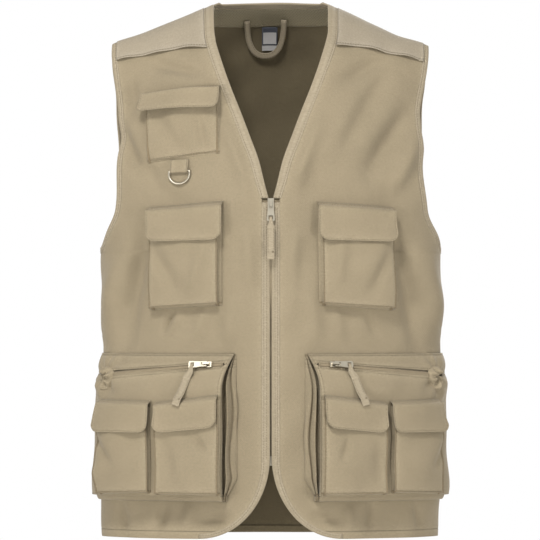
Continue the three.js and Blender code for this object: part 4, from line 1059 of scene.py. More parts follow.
def pouch(name, half, size, ground, node, tuck=4.5, crown=3.0, seed=0.0, lean=0.15):
    """Pocket with a gusset: its face is held out and the gusset pulls in under the face."""
    width = size.outer - size.inner
    tall = size.top_inner - size.bottom_inner
    face = lines_with(width, (STITCH_INSET, width - STITCH_INSET), 3.2)
    rows = lines_with(tall, (STITCH_INSET,), 3.4)
    ways = np.linspace(0, 1, GUSSET_STEPS + 1)[:-1]
    none = np.zeros(GUSSET_STEPS)
    side_way = np.concatenate([ways, np.ones(len(face)), ways[::-1]])
    share = np.concatenate([none, face / width, none + 1])
    hand = np.concatenate([none - 1, np.zeros(len(face)), none + 1])
    bottom_way = np.concatenate([ways, np.ones(len(rows))])
    up = np.concatenate([none, rows / tall])
    k, r = np.meshgrid(np.arange(len(share)), np.arange(len(up)), indexing="ij")
    c, u = share[k], up[r]
    side_run, side_stand = fold_shape(GUSSET, side_way[k])
    low_run, low_stand = fold_shape(GUSSET, bottom_way[r])
    run = np.where(side_run > 0, side_run * size.foot_side, side_run * tuck)
    drop = np.where(low_run > 0, low_run * size.foot_bottom, low_run * tuck * 0.5)
    girth = mix(size.inner, size.outer, c) + hand[k] * run
    bottom = mix(size.bottom_inner, size.bottom_outer, c)
    height = mix(bottom, mix(size.top_inner, size.top_outer, c), u) - drop
    swell = read_table(POUCH_FALL, "share", u, "swell") * mix(1 - lean, 1, u)
    bulge = (1 - (2 * c - 1) ** 4) * np.sin(math.pi * np.clip(u * 0.8 + 0.15, 0, 1))
    sag = 1.7 * np.sin(girth / 14 + seed) * np.sin(height / 23 + 2 * seed) * (1 - (2 * c - 1) ** 2)
    on_face = (side_way[k] >= 1) & (bottom_way[r] >= 1)
    edge_distance = np.minimum(np.minimum(c * width, (1 - c) * width), u * tall)
    detail = np.where(on_face, crown * bulge + sag + groove(edge_distance - STITCH_INSET), 0)
    stand = np.minimum(side_stand, low_stand)
    out = ground(girth, height) + CLEAR + size.depth * swell * stand + detail
    outer = at_height(half, girth, height, out)
    normals = grid_normals(outer)
    inner = outer - normals * TWILL * 0.8
    seam = np.where(on_face, nearness(edge_distance - 1.0), 0.5)
    made_of = [beige_twill, inner_face_painted_shade]
    sewn(name, (outer, inner), (girth, height), seam, made_of, [node])
    left = GUSSET_STEPS + nearest(face, STITCH_INSET)
    right = GUSSET_STEPS + nearest(face, width - STITCH_INSET)
    stitch_round(outer, normals, left, right, GUSSET_STEPS + nearest(rows, STITCH_INSET))


def flap_lift(pouch_size, share):
    """How far a flap's underside stands off its carrier, at a share of its height."""
    over = pouch_size.depth + CLEAR
    fall = np.clip((share - 0.84) / 0.16, 0, 1)
    return mix(over, CLEAR, fall * fall * (3 - 2 * fall))


def flap(name, half, size, under, ground, node, curl=4.0, seed=0.0):
    """Two layers of twill with rounded corners, edge stitched, over the mouth of a pocket."""
    width = size.outer - size.inner
    tall = size.top_inner - size.bottom_inner
    insets = (STITCH_INSET, FLAP_EDGE_ZONE)
    face = lines_with(width, (*insets, *(width - inset for inset in insets[::-1])), 2.6)
    rows = lines_with(tall, (*insets, tall - FLAP_TOP_STITCH), 2.4)
    c, u = np.meshgrid(face / width, rows / tall, indexing="ij")
    near_end = np.minimum(c, 1 - c) * width
    short = np.clip(1 - near_end / size.corner, 0, 1)
    corner = size.corner * (1 - np.sqrt(1 - short**2))
    bottom = mix(size.bottom_inner, size.bottom_outer, c) + corner
    girth = mix(size.inner, size.outer, c)
    top = mix(size.top_inner, size.top_outer, c)
    height = mix(bottom, top, u)
    edge = np.minimum(near_end, height - bottom)
    wave = 1.6 * np.sin(girth / 13 + seed) + 1.1 * np.sin(girth / 7.3 + 2.3 * seed)
    lift = flap_lift(under, u) + (1 - u) ** 2 * (curl + wave * 0.8)
    lift = lift + groove(edge - STITCH_INSET) + groove(top - height - FLAP_TOP_STITCH)
    lift = lift + 0.9 * np.sin(girth / 19 + seed) * np.sin(math.pi * u)
    thick = DOUBLE_TWILL * rounded(np.minimum(np.minimum(edge, top - height), 5) + 0.02)
    middle = ground(girth, height) + lift + DOUBLE_TWILL / 2
    outer = at_height(half, girth, height, middle + thick / 2)
    inner = at_height(half, girth, height, middle - thick / 2)
    seam = nearness(edge, top - height - 1.0)
    made_of = [beige_twill, inner_face_painted_shade]
    sewn(name, (outer, inner), (girth, height), seam, made_of, [node])
    normals = grid_normals(outer)
    left = nearest(face, STITCH_INSET)
    right = nearest(face, width - STITCH_INSET)
    stitch_round(outer, normals, left, right, nearest(rows, STITCH_INSET), -3)
    stitch_row(outer, normals, nearest(rows, tall - FLAP_TOP_STITCH))


def cargo_wrinkle(girth, height, side):
    """Shallow folds of the large pocket's cloth: pulled to the zip's ends and slack below it."""
    across, up = GATHER_SPOT.girth - girth, height - GATHER_SPOT.height
    fade = np.exp(-((np.hypot(across, up) - 18) / 16) ** 2)
    rays = 1.3 * np.cos(7 * np.arctan2(up, across) + side) * fade
    across, up = girth - TACK_SPOT.girth, height - TACK_SPOT.height
    fade = np.exp(-((np.hypot(across, up) - 12) / 10) ** 2)
    knot = 0.9 * np.cos(5 * np.arctan2(up, across)) * fade
    slack = 0.9 * np.sin(girth / 11 + 1.3 * side) * np.exp(-((height - SLACK_HEIGHT) / 11) ** 2)
    lower = 0.5 * np.sin(girth / 23 + height / 31 + side)
    return rays + knot + slack + lower


def cargo_face_out(girth, height, side):
    lid = np.clip((height - CARGO_BOTTOM) / 8, 0, 1)
    under_zip = np.abs(height - cargo_zip_height(girth))
    from_slider = np.hypot(girth - SLIDER_SPOT.girth, height - SLIDER_SPOT.height)
    calm = 1 - np.exp(-((from_slider / 26) ** 4))
    near_zip = np.clip(under_zip / 12, 0.25, 1)
    return cargo_out(girth, height) + cargo_wrinkle(girth, height, side) * lid * calm * near_zip


def cargo_columns():
    """For each column the way over the bellows and the share of the face; first and last on it."""
    ways = np.linspace(0, 1, 19)[:-1]
    face = np.concatenate([[0, 0.004, 0.01, 0.016, 0.022], np.linspace(0.035, 1, 64)])
    side_ways = np.array([0.6, 0.25, 0])
    way = np.concatenate([ways, np.ones(len(face)), side_ways])
    share = np.concatenate([np.zeros(len(ways)), face, np.ones(len(side_ways))])
    return way, share, len(ways), len(ways) + len(face)


def bellows_girth(way, height, side):
    """Girth of the bellows: from its foot on the body to the face's edge."""
    face_edge = cargo_inner(height)
    foot = mix(CARGO_TOP_INNER - 2, CARGO_FOOT_INNER, (CARGO_TOP - height) / CARGO_TOP)
    foot = np.minimum(foot, CARGO_TOP_INNER - 1)
    open_share = np.clip((height - CARGO_BOTTOM) / BELLOWS_CLOSING, 0, 1)
    foot = mix(face_edge - 3, foot, open_share)
    ripple = 1 + 0.25 * np.sin(height / 19 + side)
    folded = face_edge - read_table(BELLOWS, "way", way, "run") * ripple * (face_edge - foot)
    return np.where(way == 0, foot, folded)


def bottom_welt(way, height, out, edge_out):
    """Heights and distances out of the rows that turn in under the face, down to the foot."""
    run, stand = fold_shape(BOTTOM_FOLD, way)
    dropped = height - np.where(way < 1, run * (CARGO_FOOT_BOTTOM + 3), 0)
    return dropped, np.where(way < 1, np.minimum(out, stand * edge_out), out)


def cargo_shell(piece, name, half, heights, seam_lines, has_bottom=False):
    """Cloth of the large pocket between two heights, with its bellows towards the centre."""
    way, share, first, end = cargo_columns()
    levels = np.array([heights(s) for s in share])
    lows = np.linspace(0, 1, 10)[:-1] if has_bottom else np.zeros(0)
    height = np.concatenate([np.repeat(levels[:, :1], len(lows), axis=1), levels], axis=1)
    face_edge = cargo_inner(height)
    column = np.arange(len(way))[:, None]
    on_bellows = column < first
    on_side = column >= end
    w = way[:, None] * np.ones_like(height)
    girth = mix(face_edge, cargo_seam(height), share[:, None])
    girth = np.where(on_bellows, bellows_girth(w, height, half.side), girth)
    girth = np.where(on_side, girth + (1 - w) * CARGO_SIDE_FOOT, girth)
    edge_out = cargo_out(np.maximum(girth, face_edge), height)
    stand = read_table(BELLOWS, "way", w, "stand")
    out = np.where(on_bellows, stand * edge_out, cargo_face_out(girth, height, half.side))
    out = np.where(on_side, mix(2 * CLEAR, edge_out, w), out)
    if has_bottom:
        low_way = np.concatenate([lows, np.ones(levels.shape[1])]) * np.ones_like(height)
        height, out = bottom_welt(low_way, height, out, edge_out)
    out = np.maximum(out, 2 * CLEAR)
    for line in seam_lines:
        out = out + np.where(on_bellows, 0, groove(height - line(girth)))
    outer = at_height(half, girth, height, out)
    normals = grid_normals(outer)
    inner = outer - normals * TWILL * 0.8
    seam = nearness(*[height - line(girth) for line in seam_lines], girth - face_edge - 1)
    sewn(
        f"{piece}_cloth_{name}", (outer, inner), (girth, height), seam, [beige_twill, inner_face_painted_shade],
        [f"{piece}_{name}"],
    )
    return outer, normals, first, end


def zip_edge(share, way):
    """Height of the cloth's edge along the zip: way is -1 below it and 1 above."""
    girth = mix(CARGO_FACE_INNER, CARGO_FACE_OUTER, share)
    middle = cargo_zip_height(np.clip(girth, ZIP_INNER.girth, ZIP_OUTER.girth))
    return middle + way * zip_gap(girth)


def cargo_pouch(name, half):
    def heights(share):
        return mix(CARGO_BOTTOM, zip_edge(share, -1), np.array(POUCH_ROWS))

    def under_zip(girth):
        return cargo_zip_height(girth) - CARGO_ZIP_WIDTH / 2 - 2.5

    outer, normals, first, end = cargo_shell("cargo_pouch", name, half, heights, [under_zip], True)
    first += 4
    skip = outer.shape[1] - len(POUCH_ROWS)
    stitch_along(outer[first, skip:], normals[first, skip:])
    stitch_row(outer[first:end], normals[first:end], -3)


def zip_gap(girth):
    inside = (girth > ZIP_INNER.girth - 2) & (girth < ZIP_OUTER.girth + 6)
    return np.where(inside, CARGO_ZIP_WIDTH / 2, CLEAR / 2)


def cargo_band(name, half):
    def heights(share):
        return mix(zip_edge(share, 1), CARGO_TOP, np.array(BAND_ROWS))

    def over_zip(girth):
        return cargo_zip_height(girth) + CARGO_ZIP_WIDTH / 2 + 2.0

    def top_line(girth):
        return 0 * girth + CARGO_TOP - 2.2

    outer, normals, first, end = cargo_shell("cargo_band", name, half, heights, [over_zip, top_line])
    for row in (3, -3):
        stitch_row(outer[first + 2 : end], normals[first + 2 : end], row)
    stitch_along(outer[first + 3], normals[first + 3])


def cargo_zip(name, half):
    """Tape and closed coil between the two folded edges."""
    side = half.side
    girths = np.linspace(ZIP_INNER.girth - ZIP_TUCK, ZIP_OUTER.girth + ZIP_TUCK, 164)
    across, girth = np.meshgrid(ZIP_PROFILE["across"], girths, indexing="ij")
    rise = np.array(ZIP_PROFILE["rise"])[:, None]
    height = cargo_zip_height(girth) + across
    teeth = 0.16 * np.sin(girth * 2 * math.pi / CARGO_TEETH_PITCH) * (rise > 0.2)
    out = cargo_face_out(girth, height, side) - TWILL * 0.3 + rise * 0.7 + teeth
    outer = at_height(half, girth, height, out)
    inner = at_height(half, girth, height, out - TWILL)
    sewn(
        f"cargo_zip_tape_{name}", (outer, inner), (girth, height), np.full(outer.shape[:2], 0.3),
        [zip_tape], [f"cargo_zip_{name}"],
    )
    end_girth = np.full(24, ZIP_INNER.girth - ZIP_END_STITCH)
    end_height = cargo_zip_height(end_girth) + np.linspace(-ZIP_END_REACH, ZIP_END_REACH, 24)
    end_out = cargo_face_out(end_girth, end_height, side)
    end = at_height(half, end_girth, end_height, end_out)
    stitch_along(end, skin_normal(half, end_girth, end_height), 0.2)


def zip_end_gather(name, half):
    """Bunched end of the zip at the side seam: a small rosette of folded cloth."""
    turns = np.linspace(0, 2 * math.pi, 73)
    reach = np.linspace(0.02, 1, 22)
    rho, theta = np.meshgrid(reach, turns, indexing="ij")
    stretch = 1 + 0.5 * np.clip(-np.sin(theta), 0, 1)
    girth = GATHER.girth + GATHER.half_width * rho * np.cos(theta)
    height = GATHER.height + GATHER.half_height * rho * np.sin(theta) * stretch
    folds = np.cos(6 * theta + 2.4 * rho + half.side) * rho * (1 - rho**2)
    dome = GATHER.dome * (1 - rho**2) ** 0.7
    pit = -GATHER.pit * np.exp(-((rho / 0.24) ** 2))
    out = cargo_out(girth, height) + 0.6 + dome + pit + GATHER.fold * folds
    out = np.where(rho > 0.93, cargo_out(girth, height) - 0.8, out)
    outer = at_height(half, girth, height, out)
    normals = grid_normals(outer)
    inner = outer - normals * TWILL * 0.7
    sewn(
        f"zip_end_gather_{name}", (outer, inner), (girth, height), 0.5 + 0 * rho,
        [beige_twill, inner_face_painted_shade], [],
    )


# Metal, tabs and the ring

def frame_on(half, ground, girth, height, out, lean):
    """Frame on the cloth: X the way a pull lies, Y out of the cloth, Z across."""
    def place(g, h):
        return plain_at_height(half, *(np.array(float(v)) for v in (g, h, ground(g, h))))

    origin = place(girth, height)
    down = unit(place(girth, height - 2) - place(girth, height + 2))
    across = (place(girth + 2, height) - place(girth - 2, height)) * half.side
    out_way = unit(np.cross(down, across))
    if out_way[1] > 0:
        out_way = -out_way
    turn = Matrix.Rotation(half.side * math.radians(lean), 3, Vector(out_way))
    along = np.array(turn @ Vector(down))
    origin = origin + out_way * out
    return SimpleNamespace(origin=origin, x=along, y=out_way, z=unit(np.cross(along, out_way)))


def on_frame(place, x, y, z):
    x, y, z = (np.asarray(v, float)[..., None] for v in np.broadcast_arrays(x, y, z))
    return place.origin + x * place.x + y * place.y + z * place.z


def turned(place, reach, degrees):
    """A frame at a distance along another, turned about its outward axis."""
    turn = Matrix.Rotation(math.radians(degrees), 3, Vector(place.y))
    return SimpleNamespace(
        origin=place.origin + place.x * reach,
        x=np.array(turn @ Vector(place.x)),
        y=place.y,
        z=np.array(turn @ Vector(place.z)),
    )


# The cloth tab's turn through the pull's hole: reach beyond the hole, height and width
TAB_HOOK = {
    "step": (0, 1, 2, 3, 4, 5, 6, 7, 8),
    "reach": (10.5, 6, 1.8, -0.1, -0.6, -0.1, 1.8, 6, 10.5),
    "out": (-0.95, -1.5, -1.9, -1.6, 0, 1.6, 1.9, 1.5, 0.95),
    "width": (7, 5, 3.6, 3.6, 3.6, 3.6, 3.6, 5.5, 8),
}
TAB_FOLD = 8  # length of the tab's folded end
TAB_TACK = 9.6  # middle of the bar tack above it
TAB_STITCH = 3.6  # rows of stitches from the tab's middle


def rounded_bar(middle, up, wide, thick, width):
    """Ring of points round a flat strip with soft edges."""
    angles = np.linspace(0, 2 * math.pi, 20, endpoint=False)
    a = np.sign(np.cos(angles)) * np.abs(np.cos(angles)) ** 0.35
    b = np.sign(np.sin(angles)) * np.abs(np.sin(angles)) ** 0.55
    return middle + np.outer(b * thick / 2, up) + np.outer(a * width / 2, wide)


def tab(name, hole, middles, outwards, node, body):
    """Doubled strip of twill threaded through a pull, with a bar tack and a folded end."""
    rings = []
    steps = np.linspace(0, 8, 41)
    reach, out, width = (read_table(TAB_HOOK, "step", steps, of) for of in ("reach", "out", "width"))
    slope = unit(np.stack([np.gradient(reach), np.gradient(out)], axis=-1))
    for r, o, w, s in zip(reach, out, width, slope):
        middle = on_frame(hole, r, o, 0)
        up = -s[1] * hole.x + s[0] * hole.y
        rings.append(rounded_bar(middle, up, hole.z, 1.2, w))
    way = way_along(middles)
    fine = np.linspace(0, way[-1], 70)
    line = read_line(fine, way, middles)
    ups = unit(read_line(fine, way, outwards))
    along = unit(np.gradient(line, axis=0))
    from_end = fine[-1] - fine
    for p, n, d, e in zip(line, ups, along, from_end):
        thick = DOUBLE_TWILL + (0.7 if e < TAB_FOLD else 0) - (0.5 if abs(e - TAB_TACK) < 1.0 else 0)
        thick = thick * float(rounded(np.array(e + 0.05), 1.0))
        wide = TAB_WIDTH - (0.5 if e < 0.6 else 0)
        rings.append(rounded_bar(p, n, unit(np.cross(d, n)), thick, wide))
    rings = np.array(rings)
    way_all = np.linspace(0, 80, len(rings))
    uv = np.stack(np.meshgrid(way_all, np.linspace(0, 24, 20), indexing="ij"), axis=-1)
    obj = swept(name, rings, uv, np.full(rings.shape[:2], 0.6))
    dress(obj, [binding_twill], [node], body)
    sides = unit(np.cross(along, ups))
    lines = [(line[4:-3] + sides[4:-3] * k + ups[4:-3] * 1.25, ups[4:-3]) for k in (-TAB_STITCH, TAB_STITCH)]
    tack = np.linspace(-4, 4, 12)[:, None]
    for e in (TAB_TACK - 0.8, TAB_TACK, TAB_TACK + 0.8):
        at = nearest(from_end, e)
        lines.append((line[at] + sides[at] * tack + ups[at] * 1.2, np.tile(ups[at], (12, 1))))
    thread_piece(f"{name}_stitching", lines, body)


def main_hardware():
    face = (TAPE - TWILL) / 2 + CLEAR + SLIDER_THICKNESS + HINGE_ABOVE_SLIDER
    place = frame_on(front_half(LEFT), body_ground, 0, ZIP_TOP - SLIDER_LENGTH / 2, face, 0)
    hole = turned(place, PULL_HOLE_REACH, 0)
    reach = np.array([11, 15, 30, 42, TAB_LENGTH], float)
    middles = on_frame(hole, reach, 0.4, 0)
    outwards = np.tile(place.y, (5, 1))
    tab("main_tab_cloth", hole, middles, outwards, "main_tab", "main_zip_pull")


def cover_out(girth, height):
    """How far the large pocket, or the inner flap where it lies over it, stands off the body."""
    flap_size = INNER_FLAP
    on_flap = (girth > flap_size.inner) & (girth < flap_size.outer)
    on_flap = on_flap & (height < flap_size.top_inner + TAB_WIDTH)
    share = (height - flap_size.bottom_inner) / (flap_size.top_inner - flap_size.bottom_inner)
    over = INNER_POUCH.depth + CLEAR
    stand = np.where(share > 0.86, mix(over, CLEAR, (share - 0.86) / 0.14), over)
    stand = np.where(share >= 1, CLEAR, stand)
    return cargo_out(girth, height) + np.where(on_flap, stand + DOUBLE_TWILL, 0)


def cargo_hardware(name, side):
    half = front_half(side)
    girth = SLIDER_SPOT.girth
    height = float(cargo_zip_height(girth))
    out = CLEAR + SLIDER_THICKNESS + HINGE_ABOVE_SLIDER
    place = frame_on(half, cargo_out, girth, height, out, CARGO_PULL_LEAN)
    hole = turned(place, PULL_HOLE_REACH, -side * CARGO_TAB_LEAN)
    stand = out + float(cargo_out(np.array(float(girth)), np.array(height)))
    tilt = math.radians(CARGO_TAB_TILT)
    start_x = abs(hole.origin[0]) - 4
    start_z = hole.origin[2]
    start = float(girth_at(start_x, oval_at(start_z, False)))
    reach = np.array([16, 25, 36, 45, TAB_LENGTH], float)
    at_girth = start + reach * math.cos(tilt)
    at_high = start_z - reach * math.sin(tilt)
    lift = np.maximum(stand, cover_out(at_girth, at_high) + DOUBLE_TWILL)
    middles = plain_at_height(half, at_girth, at_high, lift)
    outwards = skin_normal(half, at_girth, at_high)
    tab(f"cargo_tab_cloth_{name}", hole, middles, outwards, f"cargo_tab_{name}", f"cargo_zip_pull_{name}")


def ring_frame():
    half = front_half(RIGHT)
    size = UPPER_POUCH
    width = size.outer - size.inner
    share = (RING_GIRTH - size.inner) / width
    slope = (size.bottom_inner - size.bottom_outer) / width
    corner = share * width + WEBBING_WIDTH / 2
    bottom = size.bottom_inner - slope * corner - size.foot_bottom
    out = 2 * CLEAR + TWILL + RING_WIRE / 2
    return frame_on(half, body_ground, RING_GIRTH, bottom - WEBBING_DROP, out, 0)


def ring_loop(place):
    """Folded strip that holds the ring: down behind its bar, round it and up in front."""
    middle = RING_WIRE / 2 + CLEAR + TWILL / 2
    arc = np.linspace(-math.pi / 2, math.pi / 2, 13)
    back = np.linspace(-WEBBING_DROP + CLEAR, 0, 12)[:-1]
    front = np.linspace(0, -WEBBING_DROP + CLEAR, 16)[1:]
    x = np.concatenate([back, middle * np.cos(arc), front])
    fall = np.clip(-front / WEBBING_DROP, 0, 1)
    lower = mix(middle, -middle + TWILL + 0.1, fall**1.6)
    y = np.concatenate([np.full(len(back), -middle), middle * np.sin(arc), lower])
    width = WEBBING_WIDTH - 2 * CLEAR
    across = lines_with(width, (WEBBING_STITCH, width - WEBBING_STITCH), 2.5) - width / 2
    w, k = np.meshgrid(across, np.arange(len(x)), indexing="ij")
    grid = on_frame(place, x[k], y[k], w)
    normals = unit(np.cross(np.gradient(grid, axis=1), np.gradient(grid, axis=0)))
    thick = (TWILL / 2 * rounded(width / 2 - np.abs(w) + 0.05, 0.8))[..., None]
    uv = np.stack([w, k * 1.5], axis=-1)
    seam = nearness(width / 2 - np.abs(w) - 1.5)
    obj = cloth("ring_loop_cloth", grid + normals * thick, grid - normals * thick, uv, seam, False)
    dress(obj, [beige_twill], ["ring_loop"])
    declare(grid)
    outs = np.tile(place.y, (len(front), 1))
    for inset in (-width / 2 + WEBBING_STITCH, width / 2 - WEBBING_STITCH):
        points = on_frame(place, front, y[-len(front) :] + TWILL / 2, inset)
        thread_lines.append((points, outs))


def d_ring(place):
    reach = (WEBBING_WIDTH + RING_WIRE) / 2 + CLEAR
    drop = RING_HEIGHT - RING_WIRE
    corner = 3
    angle = np.linspace(0, math.pi, 72)
    bow_x = corner + (drop - corner) * np.sin(angle) ** 0.9
    bow_z = reach * np.cos(angle)
    bar_z = np.linspace(-reach, reach, 24)
    bend = np.clip((reach - np.abs(bar_z)) / 2.2, 0, 1)
    x = np.concatenate([0.9 * (1 - bend) ** 2, bow_x])
    z = np.concatenate([bar_z, bow_z])
    path = np.stack([x, z], axis=-1)
    run = unit(np.roll(path, -1, axis=0) - np.roll(path, 1, axis=0))
    around = np.linspace(0, 2 * math.pi, 16, endpoint=False)
    rings = []
    for (px, pz), (rx, rz) in zip(path, run):
        side_x = -rz * np.cos(around) * RING_WIRE / 2
        side_z = rx * np.cos(around) * RING_WIRE / 2
        rings.append(on_frame(place, px + side_x, np.sin(around) * RING_WIRE / 2, pz + side_z))
    rings = np.array(rings)
    uv = np.zeros((len(rings), 16, 2))
    obj = swept("d_ring_wire", rings, uv, np.zeros(rings.shape[:2]), looped=True)
    dress(obj, [bright_nickel], ["d_ring"], "ring")


def zip_coil():
    """Coil teeth behind the front's edges."""
    half = front_half(LEFT)
    height = np.linspace(CORNER_HEIGHT + CLEAR, ZIP_TOP - SLIDER_LENGTH - 3 * CLEAR, 420)
    around = np.linspace(0, 2 * math.pi, 12, endpoint=False)
    squeeze = 1 + 0.13 * np.sin(height * 2 * math.pi / MAIN_TEETH_PITCH)
    rings = []
    for h, s in zip(height, squeeze):
        across = COIL_WIDTH / 2 * s * np.cos(around)
        depth = -ZIP_BEHIND - COIL_THICKNESS / 2 + COIL_THICKNESS / 2 * 0.95 * np.sin(around)
        rings.append(plain_at_height(half, across, np.full(12, h), depth))
    rings = np.array(rings)
    uv = np.stack(np.meshgrid(height, np.linspace(0, 14, 12), indexing="ij"), axis=-1)
    obj = swept("zip_coil_teeth", rings, uv, np.zeros(rings.shape[:2]))
    dress(obj, [dyed_coil], ["zip_coil"])


def zip_tape_strip(name, side):
    half = front_half(side)
    girths = STOP_WIDTH / 2 + CLEAR + np.linspace(0, 12, 9)
    heights = np.linspace(CORNER_HEIGHT - STOP_HEIGHT, ZIP_TOP - 2, 120)
    girth, height = np.meshgrid(girths, heights, indexing="ij")
    outer = plain_at_height(half, girth, height, np.full(girth.shape, -ZIP_BEHIND))
    inner = plain_at_height(half, girth, height, np.full(girth.shape, -ZIP_BEHIND - ZIP_TAPE))
    sewn(
        f"zip_tape_cloth_{name}", (outer, inner), (girth, height), np.zeros(girth.shape),
        [zip_tape], [f"zip_tape_{name}"],
    )


def bevelled_metal(node, material, width=0.28):
    """A packed metal piece keeps its shape and gets softened edges."""
    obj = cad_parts[node]
    obj.data.materials.clear()
    obj.data.materials.append(material)
    bevel = obj.modifiers.new("edge", "BEVEL")
    bevel.width = width * MM
    bevel.segments = 3
    bevel.limit_method = "ANGLE"
    bevel.angle_limit = math.radians(35)
    bevel.harden_normals = True
    obj.data.polygons.foreach_set("use_smooth", np.ones(len(obj.data.polygons), bool))


# Thread

STITCH_PITCH = 3.6
STITCH_LENGTH = 2.7
THREAD_RADIUS = 0.36


def bead_points(line, normals):
    """Corners of the stitches along one line of points."""
    way = way_along(line)
    count = int((way[-1] - STITCH_LENGTH) / STITCH_PITCH)
    if count < 1:
        return np.zeros((0, 10, 3))
    starts = np.arange(count) * STITCH_PITCH + 0.4
    first = read_line(starts, way, line)
    last = read_line(starts + STITCH_LENGTH, way, line)
    up = unit(read_line(starts + STITCH_LENGTH / 2, way, normals))
    side = unit(np.cross(last - first, up)) * THREAD_RADIUS
    up = up * THREAD_RADIUS
    corners = [first - up]
    for share in (0.18, 0.82):
        middle = mix(first, last, share)
        corners += [middle + side, middle + up * 1.1, middle - side, middle - up]
    corners.append(last - up)
    return np.stack(corners, axis=1)


BEAD_FACES = (
    (0, 2, 1), (0, 3, 2), (0, 4, 3), (0, 1, 4),
    (1, 2, 6, 5), (2, 3, 7, 6), (3, 4, 8, 7), (4, 1, 5, 8),
    (9, 5, 6), (9, 6, 7), (9, 7, 8), (9, 8, 5),
)


def thread_piece(name, lines, body):
    beads = np.concatenate([bead_points(line, normals) for line, normals in lines])
    faces = [[10 * k + v for v in face] for k in range(len(beads)) for face in BEAD_FACES]
    obj = new_mesh(name, beads.reshape(-1, 3), faces)
    dress(obj, [cotton_thread], [], body)


# Materials

def linear(text):
    """An sRGB hex colour as linear values."""
    parts = [int(text[k : k + 2], 16) / 255 for k in (1, 3, 5)]
    return [((c + 0.055) / 1.055) ** 2.4 if c > 0.04045 else c / 12.92 for c in parts] + [1.0]


def add(tree, kind, settings=None, **inputs):
    """Adds a node. Each input is a value or another node's output; names join words with _."""
    node = tree.nodes.new(kind)
    for key, value in (settings or {}).items():
        setattr(node, key, value)
    for key, value in inputs.items():
        socket = node.inputs[int(key[1:])] if key[1:].isdigit() else node.inputs[key.replace("_", " ")]
        if isinstance(value, bpy.types.NodeSocket):
            tree.links.new(value, socket)
        else:
            socket.default_value = value
    return node


def new_material(name):
    material = bpy.data.materials.new(name)
    material.use_nodes = True
    material.node_tree.nodes.clear()
    return material, material.node_tree


# Sizes of surface patterns, in millimetres
TWILL_WALE = 2.0  # real wales are about 0.8 mm apart; drawn coarser so that they show
GRAIN = 2.2  # specks of uneven yarn, also drawn coarser than they are
CRUMPLE = 14  # size of the small creases that washing leaves
PUCKER = 5.5  # spacing of the puckers along a seam
MOTTLE = 38  # size of the faded patches
MESH_HOLE = 2.6
LABEL_FLOAT = 0.9
METAL_MARK = 1.5
COIL_SPECK = 4
FLOOR_CLOUD = 1000 / 1.5
WALE_TONES = (0.955, 1.03)
GRAIN_TONES = (0.92, 1.07)
SEAM_PAINTED_SHADE = 0.6  # painted shade: tone right on a seam, where shade gathers, against the open cloth


def cloth_place(tree):
    return add(tree, "ShaderNodeUVMap", {"uv_map": "cloth"}).outputs["UV"]


def object_place(tree):
    return add(tree, "ShaderNodeTexCoord").outputs["Object"]


def noise(tree, place, size, **inputs):
    return add(tree, "ShaderNodeTexNoise", Vector=place, Scale=1 / (size * MM), **inputs).outputs["Fac"]


def bands(tree, way, place, scale, **inputs):
    settings = {"wave_type": "BANDS", "bands_direction": way}
    return add(tree, "ShaderNodeTexWave", settings, Vector=place, Scale=scale, **inputs).outputs["Fac"]


def blend(tree, share, start, end):
    return add(tree, "ShaderNodeMix", {"data_type": "RGBA"}, _0=share, _6=start, _7=end).outputs[2]


def spread(tree, value, low, high, start=0.0, end=1.0):
    """A value from start to end, spread from low to high."""
    span = {"From_Min": start, "From_Max": end, "To_Min": low, "To_Max": high}
    return add(tree, "ShaderNodeMapRange", Value=value, **span).outputs[0]


def times(tree, one, other):
    return add(tree, "ShaderNodeMath", {"operation": "MULTIPLY"}, _0=one, _1=other).outputs[0]


def raised(tree, height, strength, depth, **under):
    """Relief of a height, depth in millimetres, over another relief if there is one."""
    return add(
        tree, "ShaderNodeBump", Strength=strength, Distance=depth * MM, Height=height, **under
    ).outputs[0]


def surface(tree, **inputs):
    shader = add(tree, "ShaderNodeBsdfPrincipled", **inputs)
    add(tree, "ShaderNodeOutputMaterial", Surface=shader.outputs[0])
    return shader


def woven(name, colour, shade, faded, crumple=0.7):
    """Cotton twill, piece dyed and washed: matt, with diagonal wales and puckered seams."""
    material, tree = new_material(name)
    flat = cloth_place(tree)
    seam = add(tree, "ShaderNodeAttribute", {"attribute_name": "seam"}).outputs["Fac"]
    wale_scale = 0.4443 / (TWILL_WALE * MM)
    wales = bands(tree, "DIAGONAL", flat, wale_scale, Distortion=1.2, Detail=1.0, Detail_Scale=1.5)
    patches = noise(tree, flat, MOTTLE, Detail=4.0, Roughness=0.6)
    grain = noise(tree, flat, GRAIN, Detail=2.0)
    creases = noise(tree, flat, CRUMPLE, Detail=3.0, Roughness=0.55, Distortion=0.6)
    puckers = noise(tree, flat, PUCKER, Detail=1.0)
    base = blend(tree, patches, linear(shade), linear(colour))
    worn = blend(tree, times(tree, seam, grain), base, linear(faded))
    wale_tone = spread(tree, wales, *WALE_TONES)
    even_tone = times(tree, wale_tone, spread(tree, grain, *GRAIN_TONES, 0.3, 0.7))
    # painted shade: the cloth's tone darkens right on its seams
    tone = times(tree, even_tone, spread(tree, seam, 1.0, SEAM_PAINTED_SHADE, 0.75))
    coloured = add(tree, "ShaderNodeVectorMath", {"operation": "SCALE"}, _0=worn, Scale=tone).outputs[0]
    relief_now = raised(tree, wales, 0.5, 0.12)
    relief_now = raised(tree, creases, crumple, 1.1, Normal=relief_now)
    relief_now = raised(tree, times(tree, puckers, seam), 0.9, 0.9, Normal=relief_now)
    shader = surface(
        tree, Base_Color=coloured, Roughness=0.88, IOR=1.46,
        Sheen_Weight=0.05, Sheen_Roughness=0.45, Normal=relief_now,
    )
    shader.inputs["Specular IOR Level"].default_value = 0.25
    return material


